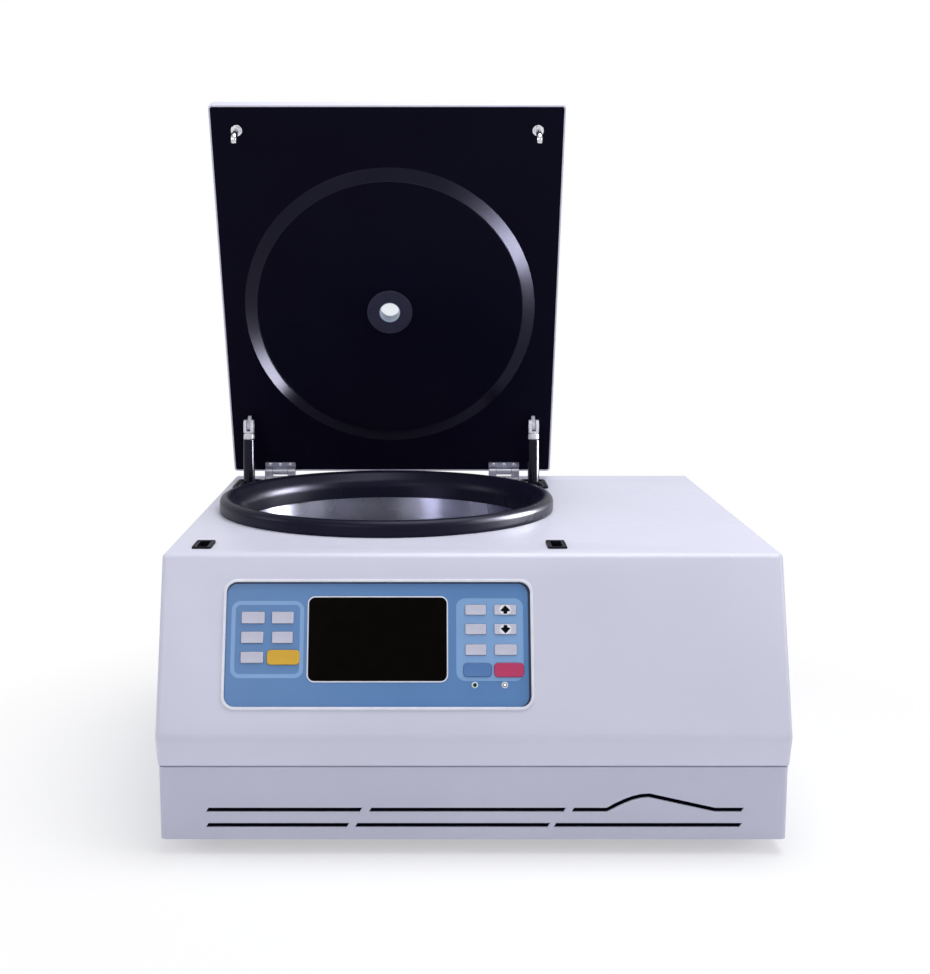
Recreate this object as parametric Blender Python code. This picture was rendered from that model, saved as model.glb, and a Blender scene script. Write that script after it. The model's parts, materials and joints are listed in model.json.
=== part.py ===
"""A bench-top high-speed refrigerated centrifuge, shown with its lid open.

The frame has +X to the machine's right as seen from the front, +Y to the rear and +Z up. The
origin lies on the bench under the middle of the housing. Every length is in metres.
"""

import math

import bmesh
import bpy
from mathutils import Matrix, Vector

# Housing
DECK_LEFT_OF_LID = 0.0035
DECK_RIGHT_OF_LID = 0.2155
DECK_AHEAD_OF_LID = 0.0196
FOOT_HEIGHT = 0.018
BASE_HEIGHT = 0.0835
CREASE_HEIGHT = 0.119
DECK_HEIGHT = 0.3114
FACE_SETBACK = 0.074
BAND_SETBACK = 0.0095
SHEET = 0.002
EDGE_RADIUS = 0.006
SEAM_GAP = 0.002
LIP_HEIGHT = 0.012
TRAY_INSET = 0.0015
REAR_RECESS = 0.006
FOOT_RADIUS = 0.020
FOOT_TOP_RADIUS = 0.016
FOOT_CHAMFER = 0.002
FOOT_INSET = 0.085

# Fits that every seat and running piece shares
FIT = 0.0003
OVERRUN = 0.004

# Vent slits in the front of the tray
SLIT_HEIGHT = 0.0048
SLIT_SLANT = 0.003
UPPER_SLIT_RISE = 0.0343
LOWER_SLIT_RISE = 0.0165
HUMP_RISE = 0.0167

# Where each slit starts and ends, and its hump, as shares of the housing's width
UPPER_SLIT_SHARES = ((-0.4221, -0.1781), (-0.1639, 0.1450), (0.1576, 0.4269))
LOWER_SLIT_SHARES = ((-0.4227, -0.1990), (-0.1863, 0.1200), (0.1294, 0.4246))
HUMP_SHARES = (0.2115, 0.2778, 0.3828)

# Vent slots in the right side wall
SIDE_SLOT_COUNT = 10
SIDE_SLOT_PITCH = 0.015
SIDE_SLOT_WIDTH = 0.004
SIDE_SLOT_LENGTH = 0.070
SIDE_SLOT_SETBACK = 0.280
SIDE_SLOT_RISE = 0.180

# Control panel, measured up the sloped face from its crease
PANEL_FROM_LEFT = 0.0744
PANEL_WIDTH = 0.3393
PANEL_LOW = 0.0348
PANEL_BELOW_DECK = 0.0324
PANEL_CORNER = 0.012
PANEL_OVERLAP = 0.006
RIM_WIDTH = 0.003
RIM_PROUD = 0.0012
OVERLAY_THICKNESS = 0.0025
WINDOW_CORNER = 0.007
WINDOW_PROUD = 0.0003
KEY_PROUD = 0.0015
KEY_TRAVEL = 0.0008
KEY_CLEARANCE = 0.0004
KEY_FLANGE = 0.0008
KEY_FLANGE_THICKNESS = 0.0016
KEY_CORNER = 0.0014
KEY_EDGE = 0.0005
ROUND_KEY_CORNER = 0.004
KEY_REST_GAP = 0.0015
BOARD_THICKNESS = 0.0016
BOARD_MARGIN = 0.006
STANDOFF_SIDE = 0.006
LAMP_RADIUS = 0.0022
LAMP_CLEARANCE = 0.0005

# The screen, each key and each lamp, as shares of the panel opening's width and height. The
# screen and the keys give their left, right, low and high edges.
WINDOW_SHARES = (0.2714, 0.7253, 0.2048, 0.8758)
GREY_LEFT_SHARES = (
    (0.0509, 0.1271, 0.6659, 0.7596),
    (0.1506, 0.2223, 0.6659, 0.7596),
    (0.0509, 0.1240, 0.5079, 0.5990),
    (0.1525, 0.2204, 0.5079, 0.5990),
    (0.0509, 0.1250, 0.3499, 0.4385),
)
GREY_RIGHT_SHARES = (
    (0.7860, 0.8543, 0.7349, 0.8162),
    (0.8812, 0.9539, 0.7349, 0.8162),
    (0.7860, 0.8543, 0.5776, 0.6609),
    (0.8812, 0.9539, 0.5776, 0.6609),
    (0.7860, 0.8543, 0.4125, 0.4971),
    (0.8812, 0.9539, 0.4125, 0.4971),
)
YELLOW_KEY_SHARES = (0.1370, 0.2433, 0.3362, 0.4526)
BLUE_KEY_SHARES = (0.7797, 0.8710, 0.2411, 0.3463)
RED_KEY_SHARES = (0.8800, 0.9762, 0.2391, 0.3491)
LAMP_SHARES = ((0.8161, 0.1749), (0.9137, 0.1749))

# Chamber, all round one upright axis
BOWL_RADIUS = 0.1985
BOWL_WALL = 0.002
BOWL_DEPTH = 0.170
BOWL_CORNER = 0.025
BOWL_RISE = 0.0015
BOWL_FLANGE_WIDTH = 0.0145
DECK_HOLE_MARGIN = 0.0030
GASKET_OVERHANG = 0.0218
GASKET_HEIGHT = 0.0200
GASKET_CREST = 0.0125
GASKET_SHOULDER = 0.0100
GASKET_CONE_RISE = 0.0035
GASKET_ROUND = 0.0045
GASKET_SLEEVE = 0.0025
GASKET_SLEEVE_DEPTH = 0.0180
SHAFT_HOLE_RADIUS = 0.022
COIL_RADIUS = 0.0032
COIL_GAP = 0.0004
COIL_TURNS = 3
COIL_PITCH = 0.036
COIL_STEPS = 20
COIL_SIDES = 4
JACKET_WALL = 0.015
JACKET_FLOOR = 0.018
JACKET_SIDES = 28
JACKET_HOLE_RADIUS = 0.030
RING_WALL = 0.0057
RING_LEDGE = 0.030
RING_LEDGE_THICKNESS = 0.004

# Drive
MOTOR_RADIUS = 0.075
MOTOR_FLOOR_GAP = 0.010
MOTOR_TOP_GAP = 0.0071
MOTOR_WALL = 0.013
MOTOR_FLANGE_RADIUS = 0.098
MOTOR_FLANGE_THICKNESS = 0.008
MOTOR_BOSS_RADIUS = 0.025
MOTOR_BOSS_HEIGHT = 0.006
MOTOR_POST_RADIUS = 0.008
MOTOR_POST_CIRCLE = 0.088
MOTOR_POST_COUNT = 3
MOUNT_THICKNESS = 0.008
MOUNT_BAND = 0.010
SHAFT_RADIUS = 0.010
SHAFT_FOOT = 0.008
CORE_RADIUS = 0.045
CORE_GAP = 0.008
TAPER_TOP_RADIUS = 0.008
TAPER_BASE_RADIUS = 0.012
STUD_RADIUS = 0.005

# Angle rotor, its lid and its knob
ROTOR_LIFT = 0.012
ROTOR_RADIUS = 0.160
ROTOR_BASE_RADIUS = 0.100
ROTOR_TOP_RADIUS = 0.128
ROTOR_HEIGHT = 0.100
ROTOR_BELLY_LOW = 0.034
ROTOR_BELLY_HIGH = 0.046
ROTOR_RIM = 0.008
ROTOR_RIM_DEPTH = 0.008
ROTOR_HUB_RADIUS = 0.032
ROTOR_HUB_HEIGHT = 0.096
POCKET_COUNT = 6
POCKET_RADIUS = 0.031
POCKET_TILT = math.radians(25)
POCKET_CIRCLE = 0.098
POCKET_MIDDLE = 0.055
POCKET_DEPTH = 0.040
ROTOR_LID_EDGE = 0.0062
ROTOR_LID_WALL = 0.004
ROTOR_LID_RISE = 0.0105
KNOB_STEM_RADIUS = 0.020
KNOB_RADIUS = 0.026
KNOB_HEIGHT = 0.016
KNOB_FLUTE_COUNT = 6
KNOB_FLUTE_RADIUS = 0.006
KNOB_FLUTE_DEPTH = 0.0025

# Cooling
COMPRESSOR_FROM_RIGHT = 0.105
COMPRESSOR_SETBACK = 0.280
COMPRESSOR_RADIUS = 0.072
COMPRESSOR_HEIGHT = 0.185
COMPRESSOR_DOME = 0.035
COMPRESSOR_PLATE = 0.170
COMPRESSOR_PLATE_THICKNESS = 0.004
COMPRESSOR_SEAM = 0.0025
COMPRESSOR_STUB_RADIUS = 0.005
COMPRESSOR_STUB_LENGTH = 0.020
FAN_FROM_RIGHT = 0.105
FAN_ABOVE_LIP = 0.0045
FAN_SIDE = 0.150
FAN_DEPTH = 0.038
FAN_DUCT_RADIUS = 0.069
FAN_STATOR_RADIUS = 0.024
FAN_STATOR_DEPTH = 0.010
FAN_SPOKE_WIDTH = 0.008
FAN_SPOKE_DEPTH = 0.004
FAN_PIN_RADIUS = 0.004
FAN_PIN_LENGTH = 0.018
FAN_HUB_RADIUS = 0.027
FAN_HUB_DEPTH = 0.022
FAN_HUB_ROOF = 0.003
FAN_BLADE_COUNT = 7
FAN_BLADE_TIP_GAP = 0.003
FAN_BLADE_CHORD = 0.030
FAN_BLADE_THICKNESS = 0.002
FAN_BLADE_PITCHES = (math.radians(48), math.radians(36), math.radians(28))
CONDENSER_WIDTH = 0.160
CONDENSER_DEPTH = 0.040
CONDENSER_TO_FAN = 0.010
CONDENSER_FINS = 12
CONDENSER_SPINE = 0.008
INVERTER_FROM_RIGHT = 0.110
INVERTER_SETBACK = 0.095
INVERTER_WIDTH = 0.160
INVERTER_LENGTH = 0.110
INVERTER_HEIGHT = 0.055
INVERTER_BODY_HEIGHT = 0.030
INVERTER_FINS = 8

# Rear panel
GRILLE_SLOT = 0.006
GRILLE_PITCH = 0.014
GRILLE_RADIUS = 0.067
REAR_VENT_FROM_LEFT = 0.330
REAR_VENT_DROP = 0.1044
REAR_VENT_COUNT = 5
REAR_VENT_LENGTH = 0.160
INLET_FROM_LEFT = 0.120
INLET_HEIGHT = 0.180
INLET_WIDTH = 0.072
INLET_TALL = 0.034
INLET_FLANGE = 0.002
INLET_BORDER = 0.004
INLET_DEPTH = 0.030
INLET_CORNER = 0.003
SOCKET_WIDTH = 0.028
SOCKET_TALL = 0.020
SOCKET_DEPTH = 0.018
SOCKET_SHIFT = -0.015
ROCKER_SHIFT = 0.019
ROCKER_WIDTH = 0.020
ROCKER_TALL = 0.018
ROCKER_WINDOW_GAP = 0.0014
ROCKER_SIDE_GAP = 0.0004
ROCKER_DEPTH = 0.007
ROCKER_DIP = 0.0015
ROCKER_PROUD = 0.0020
ROCKER_TILT = math.radians(9)
ROCKER_WELL = 0.014

# Lid, drawn closed and then turned open about its hinge
HINGE_SETBACK = 0.036
HINGE_RISE = 0.0123
LID_OPENING = math.radians(70.3)
HINGE_TO_GASKET = 0.0353
LID_SIDE_REACH = 0.0182
LID_FRONT_REACH = 0.0705
LID_BEHIND_HINGE = 0.0035
LID_UNDERSIDE = 0.0082
LID_THICKNESS = 0.022
LID_CORNER = 0.004
LINER_WALL = 0.003
LINER_BACK_GAP = 0.004
DISC_OVERLAP = 0.010
DISC_CONE = 0.0185
DISC_DEPTH = 0.006
PORT_FLANGE_RADIUS = 0.0325
PORT_FLANGE_THICKNESS = 0.003
PORT_BARREL_RADIUS = 0.0185
PORT_RADIUS = 0.015
PORT_SEAT_RADIUS = 0.0166
PORT_SEAT_DEPTH = 0.008
PORT_CHAMFER = 0.001
WINDOW_THICKNESS = 0.004

# Hinges
HINGE_INSET = 0.0705
HINGE_WIDTH = 0.046
KNUCKLE_RADIUS = 0.005
KNUCKLE_WIDTH = 0.022
HINGE_PIN_RADIUS = 0.003
HINGE_BASE_LENGTH = 0.030
HINGE_BASE_THICKNESS = 0.003
HINGE_LEAF_LENGTH = 0.012
HINGE_LEAF_THICKNESS = 0.0022

# Strikers and latches
STRIKER_SIDE_INSET = 0.0366
STRIKER_FRONT_INSET = 0.0334
STRIKER_RADIUS = 0.004
STRIKER_LENGTH = 0.038
STRIKER_HOOK = 0.009
STRIKER_BEND = 0.0058
STRIKER_FLANGE_RADIUS = 0.0078
STRIKER_FLANGE_THICKNESS = 0.0025
LATCH_WIDTH = 0.022
LATCH_LENGTH = 0.0414
LATCH_CORNER = 0.002
LATCH_PROUD = 0.0019
LATCH_AHEAD = 0.0067
LATCH_FLANGE = 0.004
LATCH_FLANGE_THICKNESS = 0.003
LATCH_DEPTH = 0.040
WELL_WIDTH = 0.012
WELL_LENGTH = 0.0334
WELL_DEPTH = 0.034
BOLT_WIDTH = 0.010
BOLT_HEIGHT = 0.005
BOLT_LENGTH = 0.032
BOLT_TRAVEL = 0.0055
BOLT_ABOVE_HOOK = 0.0006
BOLT_NOSE = 0.002
SOLENOID_LENGTH = 0.032
SOLENOID_WALL = 0.0025

# Gas struts
STRUT_INSET = 0.0285
STRUT_STUD_ALONG = 0.080
STRUT_STUD_OFF = 0.017
STRUT_FOOT_AHEAD = 0.060
STRUT_FOOT_DROP = 0.200
LUG_THICKNESS = 0.005
LUG_RADIUS = 0.0055
LUG_LENGTH = 0.018
STRUT_PIN_RADIUS = 0.003
CLEVIS_WIDTH = 0.0145
CLEVIS_DEPTH = 0.015
CLEVIS_RISE = 0.0023
CLEVIS_DROP = 0.0095
CLEVIS_SLOT = 0.006
CLEVIS_THROAT = 0.0072
NECK_RADIUS = 0.005
NECK_LENGTH = 0.001
COLLAR_RADIUS = 0.0075
COLLAR_LENGTH = 0.009
TUBE_RADIUS = 0.0084
TUBE_BORE_RADIUS = 0.0070
TUBE_END = 0.157
TUBE_GLAND = 0.007
TUBE_EDGE = 0.0012
ROD_RADIUS = 0.004
PISTON_LENGTH = 0.006
ROD_EYE_RADIUS = 0.007
ROD_EYE_WIDTH = 0.010
ROD_PIN_LENGTH = 0.026
BRACKET_SHEET = 0.003
BRACKET_HALF_LENGTH = 0.020
BRACKET_ABOVE = 0.015
BRACKET_SLOT_RADIUS = 0.0048
BRACKET_SLOT_AHEAD = 0.0089
BRACKET_SLOT_UP = 0.0060
SLOT_HALF_WIDTH = 0.013
SLOT_FRONT = 0.092
SLOT_REAR = 0.024

# Sizes, planes and points that follow from the sizes above
BOWL_OUTER_RADIUS = BOWL_RADIUS + BOWL_WALL
BOWL_FLANGE_RADIUS = BOWL_OUTER_RADIUS + BOWL_FLANGE_WIDTH
DECK_HOLE_RADIUS = BOWL_OUTER_RADIUS + DECK_HOLE_MARGIN
GASKET_RADIUS = BOWL_OUTER_RADIUS + GASKET_OVERHANG
GASKET_CREST_RADIUS = BOWL_OUTER_RADIUS + GASKET_CREST
LID_HALF_WIDTH = GASKET_RADIUS + LID_SIDE_REACH
CHAMBER_FROM_HINGE = GASKET_RADIUS + HINGE_TO_GASKET
LID_FRONT = CHAMBER_FROM_HINGE + GASKET_RADIUS + LID_FRONT_REACH
DISC_RADIUS = BOWL_RADIUS + DISC_OVERLAP
DISC_FACE_RADIUS = DISC_RADIUS - DISC_CONE
STRIKER_OFFSET = LID_HALF_WIDTH - STRIKER_SIDE_INSET
STRIKER_FROM_HINGE = LID_FRONT - STRIKER_FRONT_INSET
HINGE_OFFSET = LID_HALF_WIDTH - HINGE_INSET
STRUT_OFFSET = LID_HALF_WIDTH - STRUT_INSET
BODY_WIDTH = DECK_LEFT_OF_LID + 2 * LID_HALF_WIDTH + DECK_RIGHT_OF_LID
BODY_DEPTH = FACE_SETBACK + DECK_AHEAD_OF_LID + LID_FRONT + HINGE_SETBACK
CHAMBER_X = DECK_LEFT_OF_LID + LID_HALF_WIDTH - BODY_WIDTH / 2
FRONT_Y = -BODY_DEPTH / 2
REAR_Y = BODY_DEPTH / 2
TRAY_Z = FOOT_HEIGHT
FLOOR_Z = TRAY_Z + SHEET
SEAM_Z = TRAY_Z + BASE_HEIGHT
CASING_Z = SEAM_Z + SEAM_GAP
CREASE_Z = TRAY_Z + CREASE_HEIGHT
DECK_Z = TRAY_Z + DECK_HEIGHT
PANEL_Y = REAR_Y - REAR_RECESS
PANEL_INNER_Y = PANEL_Y - SHEET
FACE_LEAN = math.atan2(FACE_SETBACK, DECK_Z - CREASE_Z)
FACE_LENGTH = math.hypot(FACE_SETBACK, DECK_Z - CREASE_Z)
PANEL_LEFT = PANEL_FROM_LEFT - BODY_WIDTH / 2
PANEL_RIGHT = PANEL_LEFT + PANEL_WIDTH
PANEL_HIGH = FACE_LENGTH - PANEL_BELOW_DECK
COMPRESSOR_X = BODY_WIDTH / 2 - COMPRESSOR_FROM_RIGHT
COMPRESSOR_Y = FRONT_Y + COMPRESSOR_SETBACK
FAN_X = BODY_WIDTH / 2 - FAN_FROM_RIGHT
FAN_HEIGHT = CASING_Z + LIP_HEIGHT + FAN_ABOVE_LIP + FAN_SIDE / 2
CONDENSER_TOP = FAN_HEIGHT + FAN_SIDE / 2
INVERTER_X = BODY_WIDTH / 2 - INVERTER_FROM_RIGHT
INVERTER_Y = FRONT_Y + INVERTER_SETBACK
REAR_VENT_X = REAR_VENT_FROM_LEFT - BODY_WIDTH / 2
REAR_VENT_Z = DECK_Z - REAR_VENT_DROP
INLET_X = INLET_FROM_LEFT - BODY_WIDTH / 2
HINGE_Y = REAR_Y - HINGE_SETBACK
HINGE_Z = DECK_Z + HINGE_RISE
CHAMBER_Y = HINGE_Y - CHAMBER_FROM_HINGE
BOWL_FLOOR_Z = DECK_Z - BOWL_DEPTH
BOWL_FLANGE_Z = DECK_Z - SHEET - FIT
COIL_CENTRE_RADIUS = (BOWL_OUTER_RADIUS + COIL_GAP + COIL_RADIUS) / math.cos(math.pi / COIL_STEPS)
JACKET_RADIUS = (COIL_CENTRE_RADIUS + COIL_RADIUS + COIL_GAP) / math.cos(math.pi / JACKET_SIDES)
JACKET_OUTER_RADIUS = JACKET_RADIUS + JACKET_WALL
JACKET_TOP_Z = BOWL_FLANGE_Z - BOWL_WALL - FIT
JACKET_CEILING_Z = BOWL_FLOOR_Z - BOWL_WALL - FIT
JACKET_Z = JACKET_CEILING_Z - JACKET_FLOOR
MOTOR_Z = FLOOR_Z + MOTOR_FLOOR_GAP
MOTOR_TOP_Z = JACKET_Z - MOTOR_TOP_GAP
MOTOR_FLANGE_Z = MOTOR_TOP_Z - MOTOR_FLANGE_THICKNESS * 2
MOUNT_Z = MOTOR_FLANGE_Z - FIT - MOUNT_THICKNESS
ROTOR_Z = BOWL_FLOOR_Z + ROTOR_LIFT
LATCH_Y = HINGE_Y - STRIKER_FROM_HINGE - LATCH_AHEAD
HOOK_TOP_Z = HINGE_Z + LID_UNDERSIDE - STRIKER_LENGTH + 2 * STRIKER_RADIUS
BOLT_Z = HOOK_TOP_Z + BOLT_ABOVE_HOOK
KEY_FACE = SHEET + FIT - KEY_PROUD
OVERLAY_FACE = SHEET + FIT
OVERLAY_BACK = OVERLAY_FACE + OVERLAY_THICKNESS
KEY_BACK = OVERLAY_BACK + KEY_CLEARANCE + KEY_FLANGE_THICKNESS
BOARD_FACE = KEY_BACK + KEY_REST_GAP

ROUND = 36
MEDIUM = 20
SMALL = 12

FACE_PLACE = Matrix.Translation((0, FRONT_Y, CREASE_Z)) @ Matrix.Rotation(-FACE_LEAN, 4, "X")
LID_PLACE = Matrix.Translation((CHAMBER_X, HINGE_Y, HINGE_Z)) @ Matrix.Rotation(-LID_OPENING, 4, "X")
CHAMBER_PLACE = Matrix.Translation((CHAMBER_X, CHAMBER_Y, 0))

# Name, colour, metallic share and roughness of each finish
FINISHES = {
    "casing_paint": ((0.72, 0.73, 0.80), 0.0, 0.40),
    "tray_paint": ((0.60, 0.60, 0.70), 0.0, 0.42),
    "panel_blue": ((0.085, 0.22, 0.46), 0.0, 0.35),
    "window_black": ((0.004, 0.004, 0.005), 0.0, 0.08),
    "key_grey": ((0.55, 0.55, 0.66), 0.0, 0.45),
    "key_yellow": ((0.68, 0.42, 0.06), 0.0, 0.45),
    "key_blue": ((0.07, 0.18, 0.42), 0.0, 0.45),
    "key_red": ((0.52, 0.05, 0.14), 0.0, 0.45),
    "board_green": ((0.02, 0.14, 0.06), 0.0, 0.50),
    "rubber": ((0.012, 0.011, 0.020), 0.0, 0.35),
    "stainless": ((0.62, 0.62, 0.66), 1.0, 0.25),
    "copper": ((0.72, 0.34, 0.20), 1.0, 0.30),
    "foam": ((0.70, 0.66, 0.50), 0.0, 0.90),
    "steel": ((0.42, 0.42, 0.45), 1.0, 0.35),
    "black_steel": ((0.020, 0.020, 0.022), 0.0, 0.45),
    "aluminium": ((0.70, 0.71, 0.73), 1.0, 0.32),
    "black_plastic": ((0.010, 0.010, 0.012), 0.0, 0.40),
    "liner": ((0.010, 0.009, 0.018), 0.0, 0.30),
    "glass": ((0.85, 0.88, 0.92), 0.0, 0.05),
}
made_materials = {}


def clear_scene():
    for old in list(bpy.data.objects):
        bpy.data.objects.remove(old, do_unlink=True)


def finish(name):
    """The Principled material of this name, made once."""
    if name not in made_materials:
        colour, metallic, roughness = FINISHES[name]
        material = bpy.data.materials.new(name)
        material.use_nodes = True
        shader = material.node_tree.nodes["Principled BSDF"]
        shader.inputs["Base Color"].default_value = (*colour, 1.0)
        shader.inputs["Metallic"].default_value = metallic
        shader.inputs["Roughness"].default_value = roughness
        made_materials[name] = material
    return made_materials[name]


def place_empty(name, matrix, parent=None):
    empty = bpy.data.objects.new(name, None)
    bpy.context.scene.collection.objects.link(empty)
    empty.parent = parent
    empty.matrix_basis = matrix
    return empty


def make(name, shape, finish_name, parent=None, place=None):
    """Turns a bmesh into a named piece, smooth where its facets meet at a shallow angle."""
    bmesh.ops.recalc_face_normals(shape, faces=shape.faces)
    mesh = bpy.data.meshes.new(name)
    shape.to_mesh(mesh)
    shape.free()
    mesh.shade_smooth()
    mesh.set_sharp_from_angle(angle=math.radians(32))
    mesh.materials.append(finish(finish_name))
    piece = bpy.data.objects.new(name, mesh)
    bpy.context.scene.collection.objects.link(piece)
    piece.parent = parent
    if place is not None:
        piece.matrix_basis = place
    return piece


def combine(target, shape, operation, place=None):
    """Joins a hidden helper to the target, or cuts it away. The helper keeps the target's place."""
    number = len(target.modifiers) + 1
    helper = make(f"{target.name}_{operation.lower()}_{number}", shape, "steel")
    helper.parent = target.parent
    helper.matrix_basis = target.matrix_basis @ (place or Matrix())
    helper.hide_render = True
    helper.display_type = "WIRE"
    helper.hide_set(True)
    step = target.modifiers.new(f"{operation.lower()}_{number}", "BOOLEAN")
    step.operation = operation
    step.object = helper
    step.solver = "EXACT"


def cut(target, shape, place=None):
    combine(target, shape, "DIFFERENCE", place)


def fuse(target, shape, place=None):
    combine(target, shape, "UNION", place)


def block(low, high):
    """A box between two opposite corners."""
    shape = bmesh.new()
    bmesh.ops.create_cube(shape, size=1)
    low, high = Vector(low), Vector(high)
    size = high - low
    bmesh.ops.scale(shape, vec=size, verts=shape.verts)
    bmesh.ops.translate(shape, vec=(low + high) / 2, verts=shape.verts)
    return shape


def round_edges(shape, radius, steps, chosen):
    """Rounds the edges that the test picks, given each edge's two ends."""
    edges = [edge for edge in shape.edges if chosen(*(vert.co for vert in edge.verts))]
    bmesh.ops.bevel(shape, geom=edges, offset=radius, segments=steps, profile=0.5, affect="EDGES")
    return shape


def along(axis):
    """A test for edges that run along one axis."""
    def runs(a, b):
        return abs((b - a).normalized()["XYZ".index(axis)]) > math.cos(math.radians(5))
    return runs


def prism(outline, low, high, axis):
    """An outline pushed along an axis. It holds (y, z) along X, (x, z) along Y, (x, y) along Z."""
    seat = {
        "X": lambda u, v, w: (w, u, v),
        "Y": lambda u, v, w: (u, w, v),
        "Z": lambda u, v, w: (u, v, w),
    }[axis]
    shape = bmesh.new()
    near = [shape.verts.new(seat(u, v, low)) for u, v in outline]
    far = [shape.verts.new(seat(u, v, high)) for u, v in outline]
    shape.faces.new(near)
    shape.faces.new(far[::-1])
    for i in range(len(outline)):
        j = (i + 1) % len(outline)
        shape.faces.new((near[i], far[i], far[j], near[j]))
    return shape


def turned(profile, steps, axis="Z"):
    """A closed profile of (radius, height) points turned about an axis. Points at 0 meet on it."""
    seat = {
        "X": lambda r, h, c, s: (h, r * c, r * s),
        "Y": lambda r, h, c, s: (r * c, h, r * s),
        "Z": lambda r, h, c, s: (r * c, r * s, h),
    }[axis]
    shape = bmesh.new()
    angles = [2 * math.pi * i / steps for i in range(steps)]
    rings = []
    for radius, height in profile:
        if radius == 0:
            rings.append([shape.verts.new(seat(0, height, 1, 0))] * steps)
        else:
            rings.append([shape.verts.new(seat(radius, height, math.cos(a), math.sin(a))) for a in angles])
    for i, ring in enumerate(rings):
        after = rings[(i + 1) % len(rings)]
        for j in range(steps):
            k = (j + 1) % steps
            corners = list(dict.fromkeys((ring[j], ring[k], after[k], after[j])))
            if len(corners) > 2:
                shape.faces.new(corners)
    return shape


def rod(radius, low, high, steps, axis="Z"):
    return turned([(0, low), (radius, low), (radius, high), (0, high)], steps, axis)


def moved(shape, x=0, y=0, z=0):
    bmesh.ops.translate(shape, vec=(x, y, z), verts=shape.verts)
    return shape


def arc(centre, radius, start, end, steps):
    """Points of an arc, its angles in degrees."""
    points = []
    for i in range(steps + 1):
        a = math.radians(start + (end - start) * i / steps)
        points.append((centre[0] + radius * math.cos(a), centre[1] + radius * math.sin(a)))
    return points


def rounded_box(left, right, low, high, radius, steps):
    """The outline of a rectangle with round corners."""
    corners = (
        ((right - radius, high - radius), 0),
        ((left + radius, high - radius), 90),
        ((left + radius, low + radius), 180),
        ((right - radius, low + radius), 270),
    )
    return [p for centre, turn in corners for p in arc(centre, radius, turn, turn + 90, steps)]


def slot_outline(start, end, radius, steps):
    """The outline of a slot with round ends, between the centres of its ends."""
    lean = math.degrees(math.atan2(end[1] - start[1], end[0] - start[0]))
    return arc(end, radius, lean - 90, lean + 90, steps) + arc(start, radius, lean + 90, lean + 270, steps)


def inset(points, distances):
    """Moves each side of an outline in by its own distance. Side i runs from point i to the next."""
    count = len(points)
    lines = []
    for i in range(count):
        a, b = Vector(points[i]), Vector(points[(i + 1) % count])
        run = (b - a).normalized()
        lines.append((a + Vector((-run.y, run.x)) * distances[i], run))
    moved_points = []
    for i in range(count):
        (a, run_a), (b, run_b) = lines[i - 1], lines[i]
        step = (b - a).cross(run_b) / run_a.cross(run_b)
        moved_points.append(tuple(a + run_a * step))
    return moved_points


def swept(path, radius, sides):
    """A round bar along a path of points, with flat ends."""
    path = [Vector(p) for p in path]
    shape = bmesh.new()
    rings = []
    run = (path[1] - path[0]).normalized()
    side = run.orthogonal().normalized()
    for i, point in enumerate(path):
        before = path[max(i - 1, 0)]
        after = path[min(i + 1, len(path) - 1)]
        run = (after - before).normalized()
        side = (side - run * side.dot(run)).normalized()
        up = run.cross(side)
        turns = [2 * math.pi * k / sides for k in range(sides)]
        rings.append([shape.verts.new(point + (side * math.cos(t) + up * math.sin(t)) * radius) for t in turns])
    for ring, after in zip(rings, rings[1:]):
        for k in range(sides):
            m = (k + 1) % sides
            shape.faces.new((ring[k], ring[m], after[m], after[k]))
    shape.faces.new(rings[0])
    shape.faces.new(rings[-1][::-1])
    return shape


def comb(start, end, low, high, spine, teeth):
    """The outline of a heat sink: a spine with even teeth that stand on it."""
    pitch = (end - start) / (2 * teeth - 1)
    points = [(end, low), (start, low)]
    for i in range(teeth):
        left = start + 2 * pitch * i
        points += [(left, high), (left + pitch, high)]
        if i < teeth - 1:
            points += [(left + pitch, low + spine), (left + 2 * pitch, low + spine)]
    return points


def hump(x):
    """How far the hump lifts the slit at x: a steep rise that rounds over into a long even fall."""
    start, peak, end = (BODY_WIDTH * share for share in HUMP_SHARES)
    if x <= start or x >= end:
        return 0.0
    if x < peak:
        return HUMP_RISE * math.sin(math.pi / 2 * (x - start) / (peak - start))
    return HUMP_RISE * (end - x) / (end - peak)


def slit_outline(start, end, rise, humped):
    """One vent slit with slanted ends. The humped one bends over the hump."""
    stations = [start, end]
    if humped:
        foot, peak, tail = (BODY_WIDTH * share for share in HUMP_SHARES)
        rising = [foot + (peak - foot) * i / 5 for i in range(6)]
        stations = [start, *rising, tail, end]
    middle = [(x, TRAY_Z + rise + (hump(x) if humped else 0)) for x in stations]
    upper, lower = [], []
    for i, (x, z) in enumerate(middle):
        before, after = middle[max(i - 1, 0)], middle[min(i + 1, len(middle) - 1)]
        run = Vector((after[0] - before[0], after[1] - before[1])).normalized()
        across = Vector((-run.y, run.x)) * SLIT_HEIGHT / 2
        slant = SLIT_SLANT / 2 if i in (0, len(middle) - 1) else 0
        upper.append((x + across.x + slant, z + across.y))
        lower.append((x - across.x - slant, z - across.y))
    return lower + upper[::-1]


def casing_outline():
    return [
        (FRONT_Y + BAND_SETBACK, CASING_Z),
        (REAR_Y, CASING_Z),
        (REAR_Y, DECK_Z),
        (FRONT_Y + FACE_SETBACK, DECK_Z),
        (FRONT_Y, CREASE_Z),
    ]


def sides_of(offset):
    return (("left", CHAMBER_X - offset), ("right", CHAMBER_X + offset))


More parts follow.
